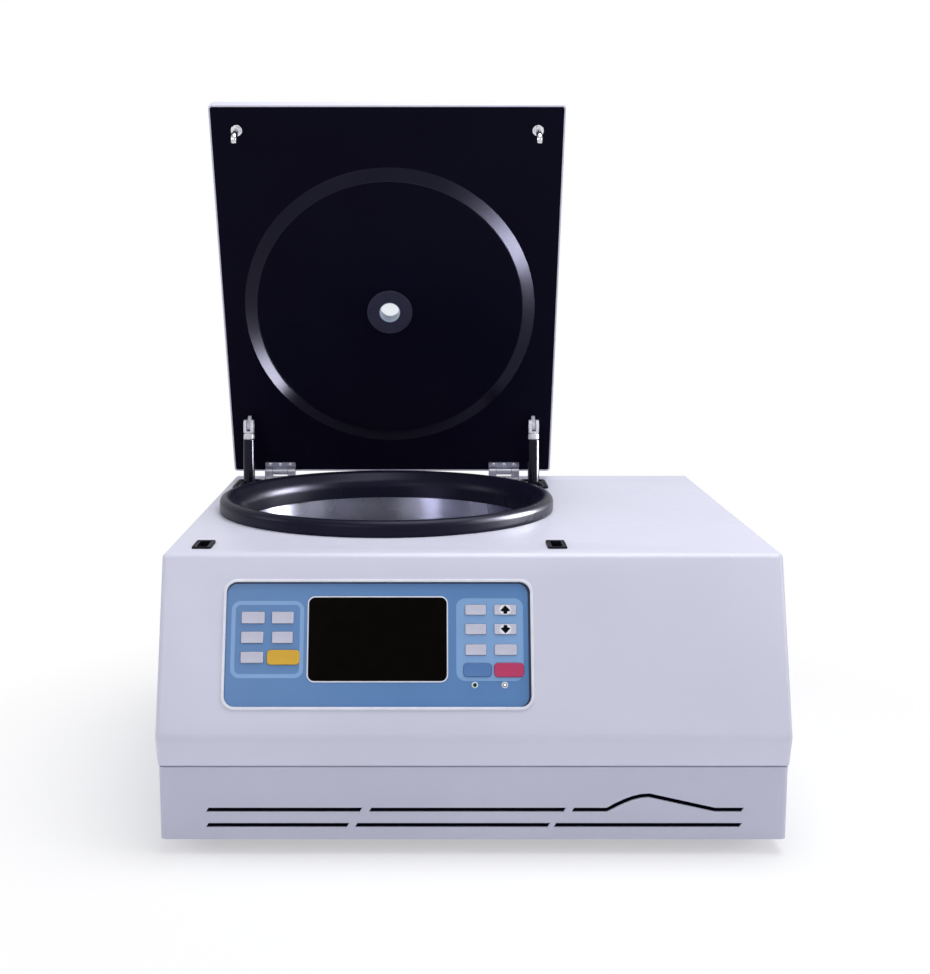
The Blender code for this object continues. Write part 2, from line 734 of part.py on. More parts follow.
def build_upper_casing():
    half = BODY_WIDTH / 2
    shell = prism(casing_outline(), -half, half, "X")

    def folded(a, b):
        on_bottom = max(a.z, b.z) < CASING_Z + SHEET
        on_rear = min(a.y, b.y) > REAR_Y - SHEET
        return not (on_bottom or on_rear)

    round_edges(shell, EDGE_RADIUS, 3, folded)
    casing = make("upper_casing", shell, "casing_paint")
    cavity = inset(casing_outline(), (-OVERRUN, -OVERRUN, SHEET, SHEET, SHEET))
    hollow = prism(cavity, SHEET - half, half - SHEET, "X")
    inner_corner = EDGE_RADIUS - SHEET
    round_edges(hollow, inner_corner, 2, lambda a, b: folded(a, b) and min(a.z, b.z) > CASING_Z)
    cut(casing, hollow)
    rim = rounded_box(
        PANEL_LEFT - RIM_WIDTH,
        PANEL_RIGHT + RIM_WIDTH,
        PANEL_LOW - RIM_WIDTH,
        PANEL_HIGH + RIM_WIDTH,
        PANEL_CORNER + RIM_WIDTH,
        4,
    )
    raised = prism(rim, -RIM_PROUD, SHEET / 2, "Y")
    round_edges(raised, RIM_PROUD * 0.8, 1, lambda a, b: max(a.y, b.y) < 0)
    fuse(casing, raised, FACE_PLACE)
    opening = rounded_box(PANEL_LEFT, PANEL_RIGHT, PANEL_LOW, PANEL_HIGH, PANEL_CORNER, 4)
    cut(casing, prism(opening, -OVERRUN, OVERRUN, "Y"), FACE_PLACE)
    mouth = rod(DECK_HOLE_RADIUS, DECK_Z - OVERRUN, DECK_Z + OVERRUN, ROUND)
    cut(casing, moved(mouth, CHAMBER_X, CHAMBER_Y))
    for _, x in sides_of(STRIKER_OFFSET):
        hole = prism(latch_outline(FIT), DECK_Z - OVERRUN, DECK_Z + OVERRUN, "Z")
        cut(casing, moved(hole, x, LATCH_Y))
    for _, x in sides_of(STRUT_OFFSET):
        low = (x - SLOT_HALF_WIDTH, HINGE_Y - SLOT_FRONT, DECK_Z - OVERRUN)
        cut(casing, block(low, (x + SLOT_HALF_WIDTH, HINGE_Y - SLOT_REAR, DECK_Z + OVERRUN)))
    for i in range(SIDE_SLOT_COUNT):
        y = FRONT_Y + SIDE_SLOT_SETBACK + SIDE_SLOT_PITCH * i
        low = (half - OVERRUN, y, SIDE_SLOT_RISE)
        cut(casing, block(low, (half + OVERRUN, y + SIDE_SLOT_WIDTH, SIDE_SLOT_RISE + SIDE_SLOT_LENGTH)))


def build_base_tray():
    half = BODY_WIDTH / 2 - TRAY_INSET
    front = FRONT_Y + BAND_SETBACK + FIT
    walls = block((-half, front, TRAY_Z), (half, PANEL_Y, SEAM_Z))
    round_edges(walls, EDGE_RADIUS, 3, lambda a, b: along("Z")(a, b) and max(a.y, b.y) < 0)
    tray = make("base_tray", walls, "tray_paint")
    band_lean = math.atan2(BAND_SETBACK, CREASE_Z - CASING_Z)
    lip_half = BODY_WIDTH / 2 - SHEET - FIT
    lip_front = FRONT_Y + BAND_SETBACK + SHEET / math.cos(band_lean) + FIT
    lip_rear = PANEL_INNER_Y - FIT
    lip_low = SEAM_Z - LIP_HEIGHT
    lip = block((-lip_half, lip_front, lip_low), (lip_half, lip_rear, CASING_Z + LIP_HEIGHT))
    corner = EDGE_RADIUS - SHEET
    round_edges(lip, corner, 2, lambda a, b: along("Z")(a, b) and max(a.y, b.y) < 0)
    fuse(tray, lip)
    inner_low = (SHEET - lip_half, lip_front + SHEET, FLOOR_Z)
    inner_high = (lip_half - SHEET, lip_rear - SHEET, CASING_Z + LIP_HEIGHT + OVERRUN)
    cut(tray, block(inner_low, inner_high))
    for rise, spans in ((UPPER_SLIT_RISE, UPPER_SLIT_SHARES), (LOWER_SLIT_RISE, LOWER_SLIT_SHARES)):
        for start, end in spans:
            humped = rise == UPPER_SLIT_RISE and start < HUMP_SHARES[0] < end
            outline = slit_outline(BODY_WIDTH * start, BODY_WIDTH * end, rise, humped)
            cut(tray, prism(outline, front - OVERRUN, lip_front + SHEET + OVERRUN, "Y"))
    for i in range(MOTOR_POST_COUNT):
        a = 2 * math.pi * i / MOTOR_POST_COUNT + math.pi / 2
        post = rod(MOTOR_POST_RADIUS, TRAY_Z + SHEET / 2, MOUNT_Z - FIT, 10)
        x = CHAMBER_X + MOTOR_POST_CIRCLE * math.cos(a)
        fuse(tray, moved(post, x, CHAMBER_Y + MOTOR_POST_CIRCLE * math.sin(a)))
    for _, x in sides_of(STRUT_OFFSET):
        fuse(tray, moved(strut_bracket(), x))
        y = HINGE_Y - STRUT_FOOT_AHEAD
        z = HINGE_Z - STRUT_FOOT_DROP
        slot = slot_outline((y, z), (y - BRACKET_SLOT_AHEAD, z + BRACKET_SLOT_UP), BRACKET_SLOT_RADIUS, 6)
        reach = ROD_PIN_LENGTH
        cut(tray, moved(prism(slot, -reach, reach, "X"), x))


def strut_bracket():
    """The upright channel that holds a gas strut's lower end, open to the front."""
    inner = ROD_EYE_WIDTH / 2 + FIT
    outer = inner + BRACKET_SHEET
    rear = HINGE_Y - STRUT_FOOT_AHEAD + BRACKET_HALF_LENGTH
    front = rear - 2 * BRACKET_HALF_LENGTH
    web = rear - BRACKET_SHEET
    outline = [
        (-outer, front), (-inner, front), (-inner, web), (inner, web),
        (inner, front), (outer, front), (outer, rear), (-outer, rear),
    ]
    return prism(outline, TRAY_Z + SHEET / 2, HINGE_Z - STRUT_FOOT_DROP + BRACKET_ABOVE, "Z")


def build_feet():
    height = FOOT_HEIGHT - FIT
    profile = [
        (0, 0),
        (FOOT_RADIUS - FOOT_CHAMFER, 0),
        (FOOT_RADIUS, FOOT_CHAMFER),
        (FOOT_TOP_RADIUS, height),
        (0, height),
    ]
    across = BODY_WIDTH / 2 - FOOT_INSET
    deep = BODY_DEPTH / 2 - FOOT_INSET
    for end, y in (("front", -deep), ("rear", deep)):
        for side, x in (("left", -across), ("right", across)):
            make(f"foot_{end}_{side}", turned(profile, 14), "rubber", place=Matrix.Translation((x, y, 0)))


def build_rear_panel():
    half = BODY_WIDTH / 2 - SHEET - FIT
    low = (-half, PANEL_INNER_Y, SEAM_Z + FIT)
    sheet = block(low, (half, PANEL_Y, DECK_Z - SHEET - FIT))
    round_edges(sheet, EDGE_RADIUS - SHEET, 2, lambda a, b: along("Y")(a, b) and min(a.z, b.z) > CREASE_Z)
    panel = make("rear_panel", sheet, "tray_paint")
    front, back = PANEL_INNER_Y - OVERRUN, PANEL_Y + OVERRUN
    rows = int(GRILLE_RADIUS // GRILLE_PITCH)
    for i in range(-rows, rows + 1):
        z = FAN_HEIGHT + GRILLE_PITCH * i
        reach = math.sqrt(GRILLE_RADIUS ** 2 - (GRILLE_PITCH * i) ** 2)
        slot = block((FAN_X - reach, front, z - GRILLE_SLOT / 2), (FAN_X + reach, back, z + GRILLE_SLOT / 2))
        cut(panel, slot)
    for i in range(REAR_VENT_COUNT):
        z = REAR_VENT_Z + GRILLE_PITCH * i
        left, right = REAR_VENT_X - REAR_VENT_LENGTH / 2, REAR_VENT_X + REAR_VENT_LENGTH / 2
        cut(panel, block((left, front, z), (right, back, z + GRILLE_SLOT)))
    body = INLET_WIDTH / 2 - INLET_BORDER + FIT
    tall = INLET_TALL / 2 - INLET_BORDER + FIT
    hole = block((INLET_X - body, front, INLET_HEIGHT - tall), (INLET_X + body, back, INLET_HEIGHT + tall))
    cut(panel, hole)


def on_panel(shares):
    """The left, right, low and high edges of a place on the panel, from its shares."""
    left, right, low, high = shares
    tall = PANEL_HIGH - PANEL_LOW
    return (
        PANEL_LEFT + PANEL_WIDTH * left,
        PANEL_LEFT + PANEL_WIDTH * right,
        PANEL_LOW + tall * low,
        PANEL_LOW + tall * high,
    )


def lamp_places():
    """The middle of each lamp on the panel."""
    return [on_panel((across, across, up, up))[::2] for across, up in LAMP_SHARES]


def panel_keys():
    """Each key's name, finish, place on the panel, corner radius and steps of that corner."""
    keys = []
    for side, rows in (("left", GREY_LEFT_SHARES), ("right", GREY_RIGHT_SHARES)):
        for i, shares in enumerate(rows):
            keys.append((f"key_{side}_{i + 1}", "key_grey", on_panel(shares), KEY_CORNER, 1))
    for name, shares in (("yellow", YELLOW_KEY_SHARES), ("blue", BLUE_KEY_SHARES), ("red", RED_KEY_SHARES)):
        keys.append((f"key_{name}", f"key_{name}", on_panel(shares), ROUND_KEY_CORNER, 2))
    return keys


def grown(edges, grow, corner, steps):
    """The outline of a place on the panel, grown by a margin."""
    left, right, low, high = edges
    return rounded_box(left - grow, right + grow, low - grow, high + grow, corner + grow, steps)


def build_keys(face):
    for name, colour, edges, corner, steps in panel_keys():
        left, right, low, high = edges
        middle = ((left + right) / 2, (low + high) / 2)
        edges = (left - middle[0], right - middle[0], low - middle[1], high - middle[1])
        cap = prism(grown(edges, 0, corner, steps), KEY_FACE, KEY_BACK, "Y")
        round_edges(cap, KEY_EDGE, 1, lambda a, b: max(a.y, b.y) < KEY_FACE + KEY_EDGE / 2)
        piece = make(name, cap, colour, face, Matrix.Translation((middle[0], 0, middle[1])))
        flange = grown(edges, KEY_FLANGE, corner, steps)
        fuse(piece, prism(flange, OVERLAY_BACK + KEY_CLEARANCE, KEY_BACK, "Y"))


def build_control_panel():
    face = place_empty("front_face", FACE_PLACE)
    outline = rounded_box(
        PANEL_LEFT - PANEL_OVERLAP,
        PANEL_RIGHT + PANEL_OVERLAP,
        PANEL_LOW - PANEL_OVERLAP,
        PANEL_HIGH + PANEL_OVERLAP,
        PANEL_CORNER,
        4,
    )
    overlay = make("panel_overlay", prism(outline, OVERLAY_FACE, OVERLAY_BACK, "Y"), "panel_blue", face)
    through = (OVERLAY_FACE - OVERRUN, OVERLAY_BACK + OVERRUN)
    window = on_panel(WINDOW_SHARES)
    cut(overlay, prism(grown(window, 0, WINDOW_CORNER, 3), *through, "Y"))
    for _, _, edges, corner, steps in panel_keys():
        cut(overlay, prism(grown(edges, KEY_CLEARANCE, corner, steps), *through, "Y"))
    for x, z in lamp_places():
        hole = rod(LAMP_RADIUS + LAMP_CLEARANCE, *through, SMALL, "Y")
        cut(overlay, moved(hole, x, 0, z))
    glass = grown(window, -FIT, WINDOW_CORNER, 3)
    pane = prism(glass, OVERLAY_FACE - WINDOW_PROUD, BOARD_FACE - FIT, "Y")
    make("display_window", pane, "window_black", face)
    build_board(face)
    build_keys(face)


def build_board(face):
    left, right = PANEL_LEFT + BOARD_MARGIN, PANEL_RIGHT - BOARD_MARGIN
    low, high = PANEL_LOW + BOARD_MARGIN, PANEL_HIGH - BOARD_MARGIN
    sheet = block((left, BOARD_FACE, low), (right, BOARD_FACE + BOARD_THICKNESS, high))
    board = make("control_board", sheet, "board_green", face)
    middle = BOARD_FACE + BOARD_THICKNESS / 2
    edge = STANDOFF_SIDE / 4
    for x in (left + edge, right - STANDOFF_SIDE - edge):
        for z in (low + edge, high - STANDOFF_SIDE - edge):
            fuse(board, block((x, OVERLAY_BACK + FIT, z), (x + STANDOFF_SIDE, middle, z + STANDOFF_SIDE)))
    for x, z in lamp_places():
        fuse(board, moved(rod(LAMP_RADIUS, KEY_FACE, middle, SMALL, "Y"), x, 0, z))


def build_chamber(axis):
    sleeve = BOWL_RADIUS - FIT - GASKET_SLEEVE
    neck = DECK_HOLE_RADIUS - FIT
    seat = DECK_Z + FIT
    top = DECK_Z + GASKET_HEIGHT
    crest = arc((GASKET_CREST_RADIUS, top - GASKET_ROUND), GASKET_ROUND, 160, 20, 4)
    gasket = [
        (BOWL_RADIUS - FIT, DECK_Z - GASKET_SLEEVE_DEPTH),
        (sleeve, DECK_Z - GASKET_SLEEVE_DEPTH),
        (sleeve, DECK_Z + GASKET_CONE_RISE),
        *crest,
        (GASKET_RADIUS, DECK_Z + GASKET_SHOULDER),
        (GASKET_RADIUS, seat),
        (neck, seat),
        (neck, DECK_Z - SHEET),
        (BOWL_OUTER_RADIUS + FIT, DECK_Z - SHEET),
        (BOWL_OUTER_RADIUS + FIT, DECK_Z + BOWL_RISE + FIT),
        (BOWL_RADIUS - FIT, DECK_Z + BOWL_RISE + FIT),
    ]
    make("chamber_gasket", turned(gasket, ROUND), "rubber", axis)

    outer_corner = BOWL_CORNER + BOWL_WALL
    corner_z = BOWL_FLOOR_Z + BOWL_CORNER
    bowl = [
        (BOWL_RADIUS, DECK_Z + BOWL_RISE),
        *arc((BOWL_RADIUS - BOWL_CORNER, corner_z), BOWL_CORNER, 0, -90, 3),
        (SHAFT_HOLE_RADIUS, BOWL_FLOOR_Z),
        (SHAFT_HOLE_RADIUS, BOWL_FLOOR_Z - BOWL_WALL),
        *arc((BOWL_RADIUS - BOWL_CORNER, corner_z), outer_corner, -90, 0, 3),
        (BOWL_OUTER_RADIUS, BOWL_FLANGE_Z - BOWL_WALL),
        (BOWL_FLANGE_RADIUS, BOWL_FLANGE_Z - BOWL_WALL),
        (BOWL_FLANGE_RADIUS, BOWL_FLANGE_Z),
        (BOWL_OUTER_RADIUS, BOWL_FLANGE_Z),
        (BOWL_OUTER_RADIUS, DECK_Z + BOWL_RISE),
    ]
    make("chamber_bowl", turned(bowl, ROUND), "stainless", axis)

    turns = COIL_TURNS * COIL_STEPS
    low = corner_z + COIL_RADIUS
    path = []
    for i in range(turns + 1):
        a = 2 * math.pi * i / COIL_STEPS
        z = low + COIL_PITCH * i / COIL_STEPS
        path.append((COIL_CENTRE_RADIUS * math.cos(a), COIL_CENTRE_RADIUS * math.sin(a), z))
    make("evaporator_coil", swept(path, COIL_RADIUS, COIL_SIDES), "copper", axis)

    jacket = [
        (JACKET_RADIUS, JACKET_TOP_Z),
        (JACKET_RADIUS, JACKET_CEILING_Z),
        (JACKET_HOLE_RADIUS, JACKET_CEILING_Z),
        (JACKET_HOLE_RADIUS, JACKET_Z),
        (JACKET_OUTER_RADIUS, JACKET_Z),
        (JACKET_OUTER_RADIUS, JACKET_TOP_Z),
    ]
    make("insulation_jacket", turned(jacket, JACKET_SIDES), "foam", axis)

    inner = JACKET_OUTER_RADIUS + FIT
    ledge = JACKET_Z - FIT
    ring = [
        (inner, JACKET_TOP_Z),
        (inner, ledge),
        (inner - RING_LEDGE, ledge),
        (inner - RING_LEDGE, ledge - RING_LEDGE_THICKNESS),
        (inner, ledge - RING_LEDGE_THICKNESS),
        (inner, FLOOR_Z + FIT),
        (inner + RING_WALL, FLOOR_Z + FIT),
        (inner + RING_WALL, JACKET_TOP_Z),
    ]
    make("containment_ring", turned(ring, JACKET_SIDES), "steel", axis)


def build_motor(axis):
    bore = SHAFT_RADIUS + FIT
    cavity = MOTOR_RADIUS - MOTOR_WALL
    floor = MOTOR_Z + MOTOR_WALL
    ceiling = MOTOR_TOP_Z - MOTOR_WALL
    housing = [
        (0, MOTOR_Z),
        (MOTOR_RADIUS, MOTOR_Z),
        (MOTOR_RADIUS, MOTOR_FLANGE_Z),
        (MOTOR_FLANGE_RADIUS, MOTOR_FLANGE_Z),
        (MOTOR_FLANGE_RADIUS, MOTOR_FLANGE_Z + MOTOR_FLANGE_THICKNESS),
        (MOTOR_RADIUS, MOTOR_FLANGE_Z + MOTOR_FLANGE_THICKNESS),
        (MOTOR_RADIUS, MOTOR_TOP_Z),
        (MOTOR_BOSS_RADIUS, MOTOR_TOP_Z),
        (MOTOR_BOSS_RADIUS, MOTOR_TOP_Z + MOTOR_BOSS_HEIGHT),
        (bore, MOTOR_TOP_Z + MOTOR_BOSS_HEIGHT),
        (bore, ceiling),
        (cavity, ceiling),
        (cavity, floor),
        (bore, floor),
        (bore, floor - SHAFT_FOOT),
        (0, floor - SHAFT_FOOT),
    ]
    make("motor_housing", turned(housing, 20), "aluminium", axis)

    mount_inner = MOTOR_POST_CIRCLE - MOUNT_BAND
    mount_outer = MOTOR_POST_CIRCLE + MOUNT_BAND
    mount = [
        (mount_inner, MOUNT_Z),
        (mount_outer, MOUNT_Z),
        (mount_outer, MOUNT_Z + MOUNT_THICKNESS),
        (mount_inner, MOUNT_Z + MOUNT_THICKNESS),
    ]
    make("motor_mount", turned(mount, 24), "rubber", axis)

    foot = floor - SHAFT_FOOT + FIT
    hub_top = ROTOR_Z + ROTOR_HUB_HEIGHT
    stud_top = hub_top + KNOB_HEIGHT
    shaft = [
        (0, foot),
        (SHAFT_RADIUS, foot),
        (SHAFT_RADIUS, floor + CORE_GAP),
        (CORE_RADIUS, floor + CORE_GAP),
        (CORE_RADIUS, ceiling - CORE_GAP),
        (SHAFT_RADIUS, ceiling - CORE_GAP),
        (SHAFT_RADIUS, MOTOR_TOP_Z + MOTOR_BOSS_HEIGHT + OVERRUN),
        (TAPER_BASE_RADIUS, MOTOR_TOP_Z + MOTOR_BOSS_HEIGHT + 2 * OVERRUN),
        (TAPER_BASE_RADIUS, ROTOR_Z - FIT),
        (TAPER_TOP_RADIUS, hub_top - SHAFT_FOOT),
        (STUD_RADIUS, hub_top - SHAFT_FOOT),
        (STUD_RADIUS, stud_top),
        (0, stud_top),
    ]
    make("drive_shaft", turned(shaft, 14), "steel", axis)


def build_rotor(axis):
    base = TAPER_BASE_RADIUS + FIT
    tip = TAPER_TOP_RADIUS + FIT
    top = ROTOR_Z + ROTOR_HEIGHT
    rim = ROTOR_TOP_RADIUS - ROTOR_RIM
    dish = top - ROTOR_RIM_DEPTH
    profile = [
        (base, ROTOR_Z),
        (ROTOR_BASE_RADIUS, ROTOR_Z),
        (ROTOR_RADIUS, ROTOR_Z + ROTOR_BELLY_LOW),
        (ROTOR_RADIUS, ROTOR_Z + ROTOR_BELLY_HIGH),
        (ROTOR_TOP_RADIUS, top),
        (rim, top),
        (rim, dish),
        (ROTOR_HUB_RADIUS, dish),
        (ROTOR_HUB_RADIUS, ROTOR_Z + ROTOR_HUB_HEIGHT),
        (tip, ROTOR_Z + ROTOR_HUB_HEIGHT),
    ]
    rotor = make("rotor", turned(profile, 32), "aluminium", axis)
    for i in range(POCKET_COUNT):
        place = (
            Matrix.Rotation(2 * math.pi * i / POCKET_COUNT, 4, "Z")
            @ Matrix.Translation((POCKET_CIRCLE, 0, ROTOR_Z + POCKET_MIDDLE))
            @ Matrix.Rotation(-POCKET_TILT, 4, "Y")
        )
        cut(rotor, rod(POCKET_RADIUS, -POCKET_DEPTH, ROTOR_HEIGHT, 14), place)

    edge = rim - FIT * 2
    low = dish + FIT
    high = low + ROTOR_LID_EDGE
    crown = high + ROTOR_LID_RISE
    hole = KNOB_STEM_RADIUS + FIT
    lid = [
        (edge - ROTOR_LID_WALL, low),
        (edge, low),
        (edge, high),
        (hole, crown),
        (hole, crown - ROTOR_LID_WALL),
        (edge - ROTOR_LID_WALL, high - ROTOR_LID_WALL),
    ]
    make("rotor_lid", turned(lid, 28), "aluminium", axis)

    hub_top = ROTOR_Z + ROTOR_HUB_HEIGHT + FIT
    shoulder = crown + FIT
    knob_top = shoulder + KNOB_HEIGHT
    bore = STUD_RADIUS + FIT
    bore_top = hub_top + KNOB_HEIGHT
    knob = [
        (bore, hub_top),
        (KNOB_STEM_RADIUS, hub_top),
        (KNOB_STEM_RADIUS, shoulder),
        (KNOB_RADIUS, shoulder),
        (KNOB_RADIUS, knob_top - KNOB_FLUTE_DEPTH),
        (KNOB_RADIUS - KNOB_FLUTE_DEPTH, knob_top),
        (0, knob_top),
        (0, bore_top),
        (bore, bore_top),
    ]
    piece = make("rotor_knob", turned(knob, 18), "black_plastic", axis)
    for i in range(KNOB_FLUTE_COUNT):
        a = 2 * math.pi * (i + 0.5) / KNOB_FLUTE_COUNT
        reach = KNOB_RADIUS + KNOB_FLUTE_RADIUS - KNOB_FLUTE_DEPTH
        flute = rod(KNOB_FLUTE_RADIUS, shoulder - FIT / 2, knob_top + OVERRUN, 8)
        cut(piece, moved(flute, reach * math.cos(a), reach * math.sin(a)))


def build_cooling():
    floor = FLOOR_Z + FIT
    half = COMPRESSOR_PLATE / 2
    low = (-half, -COMPRESSOR_RADIUS * 0.7, 0)
    high = (half, COMPRESSOR_RADIUS * 0.7, COMPRESSOR_PLATE_THICKNESS)
    place = Matrix.Translation((COMPRESSOR_X, COMPRESSOR_Y, floor))
    compressor = make("compressor", block(low, high), "black_steel", place=place)
    shoulder = COMPRESSOR_HEIGHT - COMPRESSOR_DOME
    middle = COMPRESSOR_HEIGHT / 2
    seam = COMPRESSOR_RADIUS + COMPRESSOR_SEAM
    dome = [
        (COMPRESSOR_RADIUS * math.cos(t), shoulder + COMPRESSOR_DOME * math.sin(t))
        for t in (math.radians(30 * i) for i in range(3))
    ]
    shell = [
        (0, COMPRESSOR_PLATE_THICKNESS / 2),
        (COMPRESSOR_RADIUS * 0.8, COMPRESSOR_PLATE_THICKNESS / 2),
        (COMPRESSOR_RADIUS, COMPRESSOR_DOME),
        (COMPRESSOR_RADIUS, middle - COMPRESSOR_SEAM),
        (seam, middle - COMPRESSOR_SEAM),
        (seam, middle + COMPRESSOR_SEAM),
        (COMPRESSOR_RADIUS, middle + COMPRESSOR_SEAM),
        *dome,
        (0, COMPRESSOR_HEIGHT),
    ]
    fuse(compressor, turned(shell, 16))
    for share in (-0.4, 0.4):
        stub = rod(COMPRESSOR_STUB_RADIUS, middle, COMPRESSOR_HEIGHT + COMPRESSOR_STUB_LENGTH, 8)
        fuse(compressor, moved(stub, COMPRESSOR_RADIUS * share, 0))

    fan_front = PANEL_INNER_Y - FIT - FAN_DEPTH
    rear = fan_front - CONDENSER_TO_FAN
    outline = comb(
        FAN_X - CONDENSER_WIDTH / 2,
        FAN_X + CONDENSER_WIDTH / 2,
        rear,
        rear - CONDENSER_DEPTH,
        -CONDENSER_SPINE,
        CONDENSER_FINS,
    )
    make("condenser", prism(outline, floor, CONDENSER_TOP, "Z"), "aluminium")

    outline = comb(
        INVERTER_X - INVERTER_WIDTH / 2,
        INVERTER_X + INVERTER_WIDTH / 2,
        floor,
        floor + INVERTER_HEIGHT,
        INVERTER_BODY_HEIGHT,
        INVERTER_FINS,
    )
    front = INVERTER_Y - INVERTER_LENGTH / 2
    make("drive_inverter", prism(outline, front, front + INVERTER_LENGTH, "Y"), "aluminium")
    build_fan(fan_front)


def build_fan(front):
    centre = Matrix.Translation((FAN_X, front, FAN_HEIGHT))
    axis = place_empty("fan_axis", centre)
    half = FAN_SIDE / 2
    frame = make("fan_frame", block((-half, 0, -half), (half, FAN_DEPTH, half)), "black_plastic", axis)
    cut(frame, rod(FAN_DUCT_RADIUS, -OVERRUN, FAN_DEPTH + OVERRUN, 32, "Y"))
    stator_front = FAN_DEPTH - FAN_STATOR_DEPTH
    reach = FAN_DUCT_RADIUS + SHEET
    spoke_front = FAN_DEPTH - FAN_SPOKE_DEPTH
    thin = FAN_SPOKE_WIDTH / 2
    stator = rod(FAN_STATOR_RADIUS, stator_front, FAN_DEPTH, MEDIUM, "Y")
    fuse(frame, stator)
    fuse(frame, block((-reach, spoke_front, -thin), (reach, FAN_DEPTH, thin)))
    fuse(frame, block((-thin, spoke_front, -reach), (thin, FAN_DEPTH, reach)))
    pin_front = stator_front - FAN_PIN_LENGTH
    fuse(frame, rod(FAN_PIN_RADIUS, pin_front, stator_front + FIT, SMALL, "Y"))

    hub_rear = stator_front - FIT
    hub_front = hub_rear - FAN_HUB_DEPTH
    bore = FAN_PIN_RADIUS + FIT
    hub = [
        (0, hub_front),
        (FAN_HUB_RADIUS - FAN_HUB_ROOF, hub_front),
        (FAN_HUB_RADIUS, hub_front + FAN_HUB_ROOF),
        (FAN_HUB_RADIUS, hub_rear),
        (bore, hub_rear),
        (bore, pin_front - FIT),
        (0, pin_front - FIT),
    ]
    rotor = make("fan_rotor", turned(hub, 14, "Y"), "black_plastic", axis)
    middle = (hub_front + hub_rear) / 2
    for i in range(FAN_BLADE_COUNT):
        place = Matrix.Rotation(2 * math.pi * i / FAN_BLADE_COUNT, 4, "Y")
        fuse(rotor, fan_blade(middle), place)


def fan_blade(middle):
    """One twisted blade along +X, from inside the hub to near the duct."""
    root = FAN_HUB_RADIUS - FAN_HUB_ROOF
    tip = FAN_DUCT_RADIUS - FAN_BLADE_TIP_GAP
    shape = bmesh.new()
    rings = []
    last = len(FAN_BLADE_PITCHES) - 1
    for i, pitch in enumerate(FAN_BLADE_PITCHES):
        x = root + (tip - root) * i / last
        chord = Vector((0, math.sin(pitch), math.cos(pitch))) * min(FAN_BLADE_CHORD, FAN_HUB_DEPTH) / 2
        thick = Vector((0, math.cos(pitch), -math.sin(pitch))) * FAN_BLADE_THICKNESS / 2
        centre = Vector((x, middle, 0))
        corners = (chord + thick, chord - thick, -chord - thick, -chord + thick)
        rings.append([shape.verts.new(centre + corner) for corner in corners])
    for ring, after in zip(rings, rings[1:]):
        for k in range(4):
            m = (k + 1) % 4
            shape.faces.new((ring[k], ring[m], after[m], after[k]))
    shape.faces.new(rings[0])
    shape.faces.new(rings[-1])
    return shape


def build_inlet():
    place = Matrix.Translation((INLET_X, PANEL_Y, INLET_HEIGHT))
    axis = place_empty("inlet_axis", place)
    wide, tall = INLET_WIDTH / 2, INLET_TALL / 2
    face = FIT + INLET_FLANGE
    flange = prism(rounded_box(-wide, wide, -tall, tall, INLET_CORNER, 2), FIT, face, "Y")
    inlet = make("power_inlet", flange, "black_plastic", axis)
    wide, tall = wide - INLET_BORDER, tall - INLET_BORDER
    fuse(inlet, block((-wide, -INLET_DEPTH, -tall), (wide, FIT + INLET_FLANGE / 2, tall)))
    half, high = SOCKET_WIDTH / 2, SOCKET_TALL / 2
    low = (SOCKET_SHIFT - half, face - SOCKET_DEPTH, -high)
    cut(inlet, block(low, (SOCKET_SHIFT + half, face + OVERRUN, high)))
    half = ROCKER_WIDTH / 2 + ROCKER_SIDE_GAP
    high = ROCKER_TALL / 2 + ROCKER_WINDOW_GAP
    low = (ROCKER_SHIFT - half, face - ROCKER_WELL, -high)
    cut(inlet, block(low, (ROCKER_SHIFT + half, face + OVERRUN, high)))

    pivot = place_empty("rocker_axis", Matrix.Translation((ROCKER_SHIFT, face - ROCKER_DEPTH / 2, 0)), axis)
    high = ROCKER_TALL / 2
    crown = ROCKER_DEPTH / 2 + ROCKER_PROUD
    outline = [
        (-ROCKER_DEPTH / 2, -high * 0.7),
        (ROCKER_DEPTH / 2, -high),
        (crown, -high),
        (crown - ROCKER_DIP, 0),
        (crown, high),
        (ROCKER_DEPTH / 2, high),
        (-ROCKER_DEPTH / 2, high * 0.7),
    ]
    rocker = prism(outline, -ROCKER_WIDTH / 2, ROCKER_WIDTH / 2, "X")
    make("power_rocker", rocker, "black_plastic", pivot, Matrix.Rotation(-ROCKER_TILT, 4, "X"))


def latch_outline(grow):
    """The outline of a latch where it stands in the deck, grown by a margin."""
    wide, long = LATCH_WIDTH / 2 + grow, LATCH_LENGTH / 2 + grow
    return rounded_box(-wide, wide, -long, long, LATCH_CORNER + grow, 1)


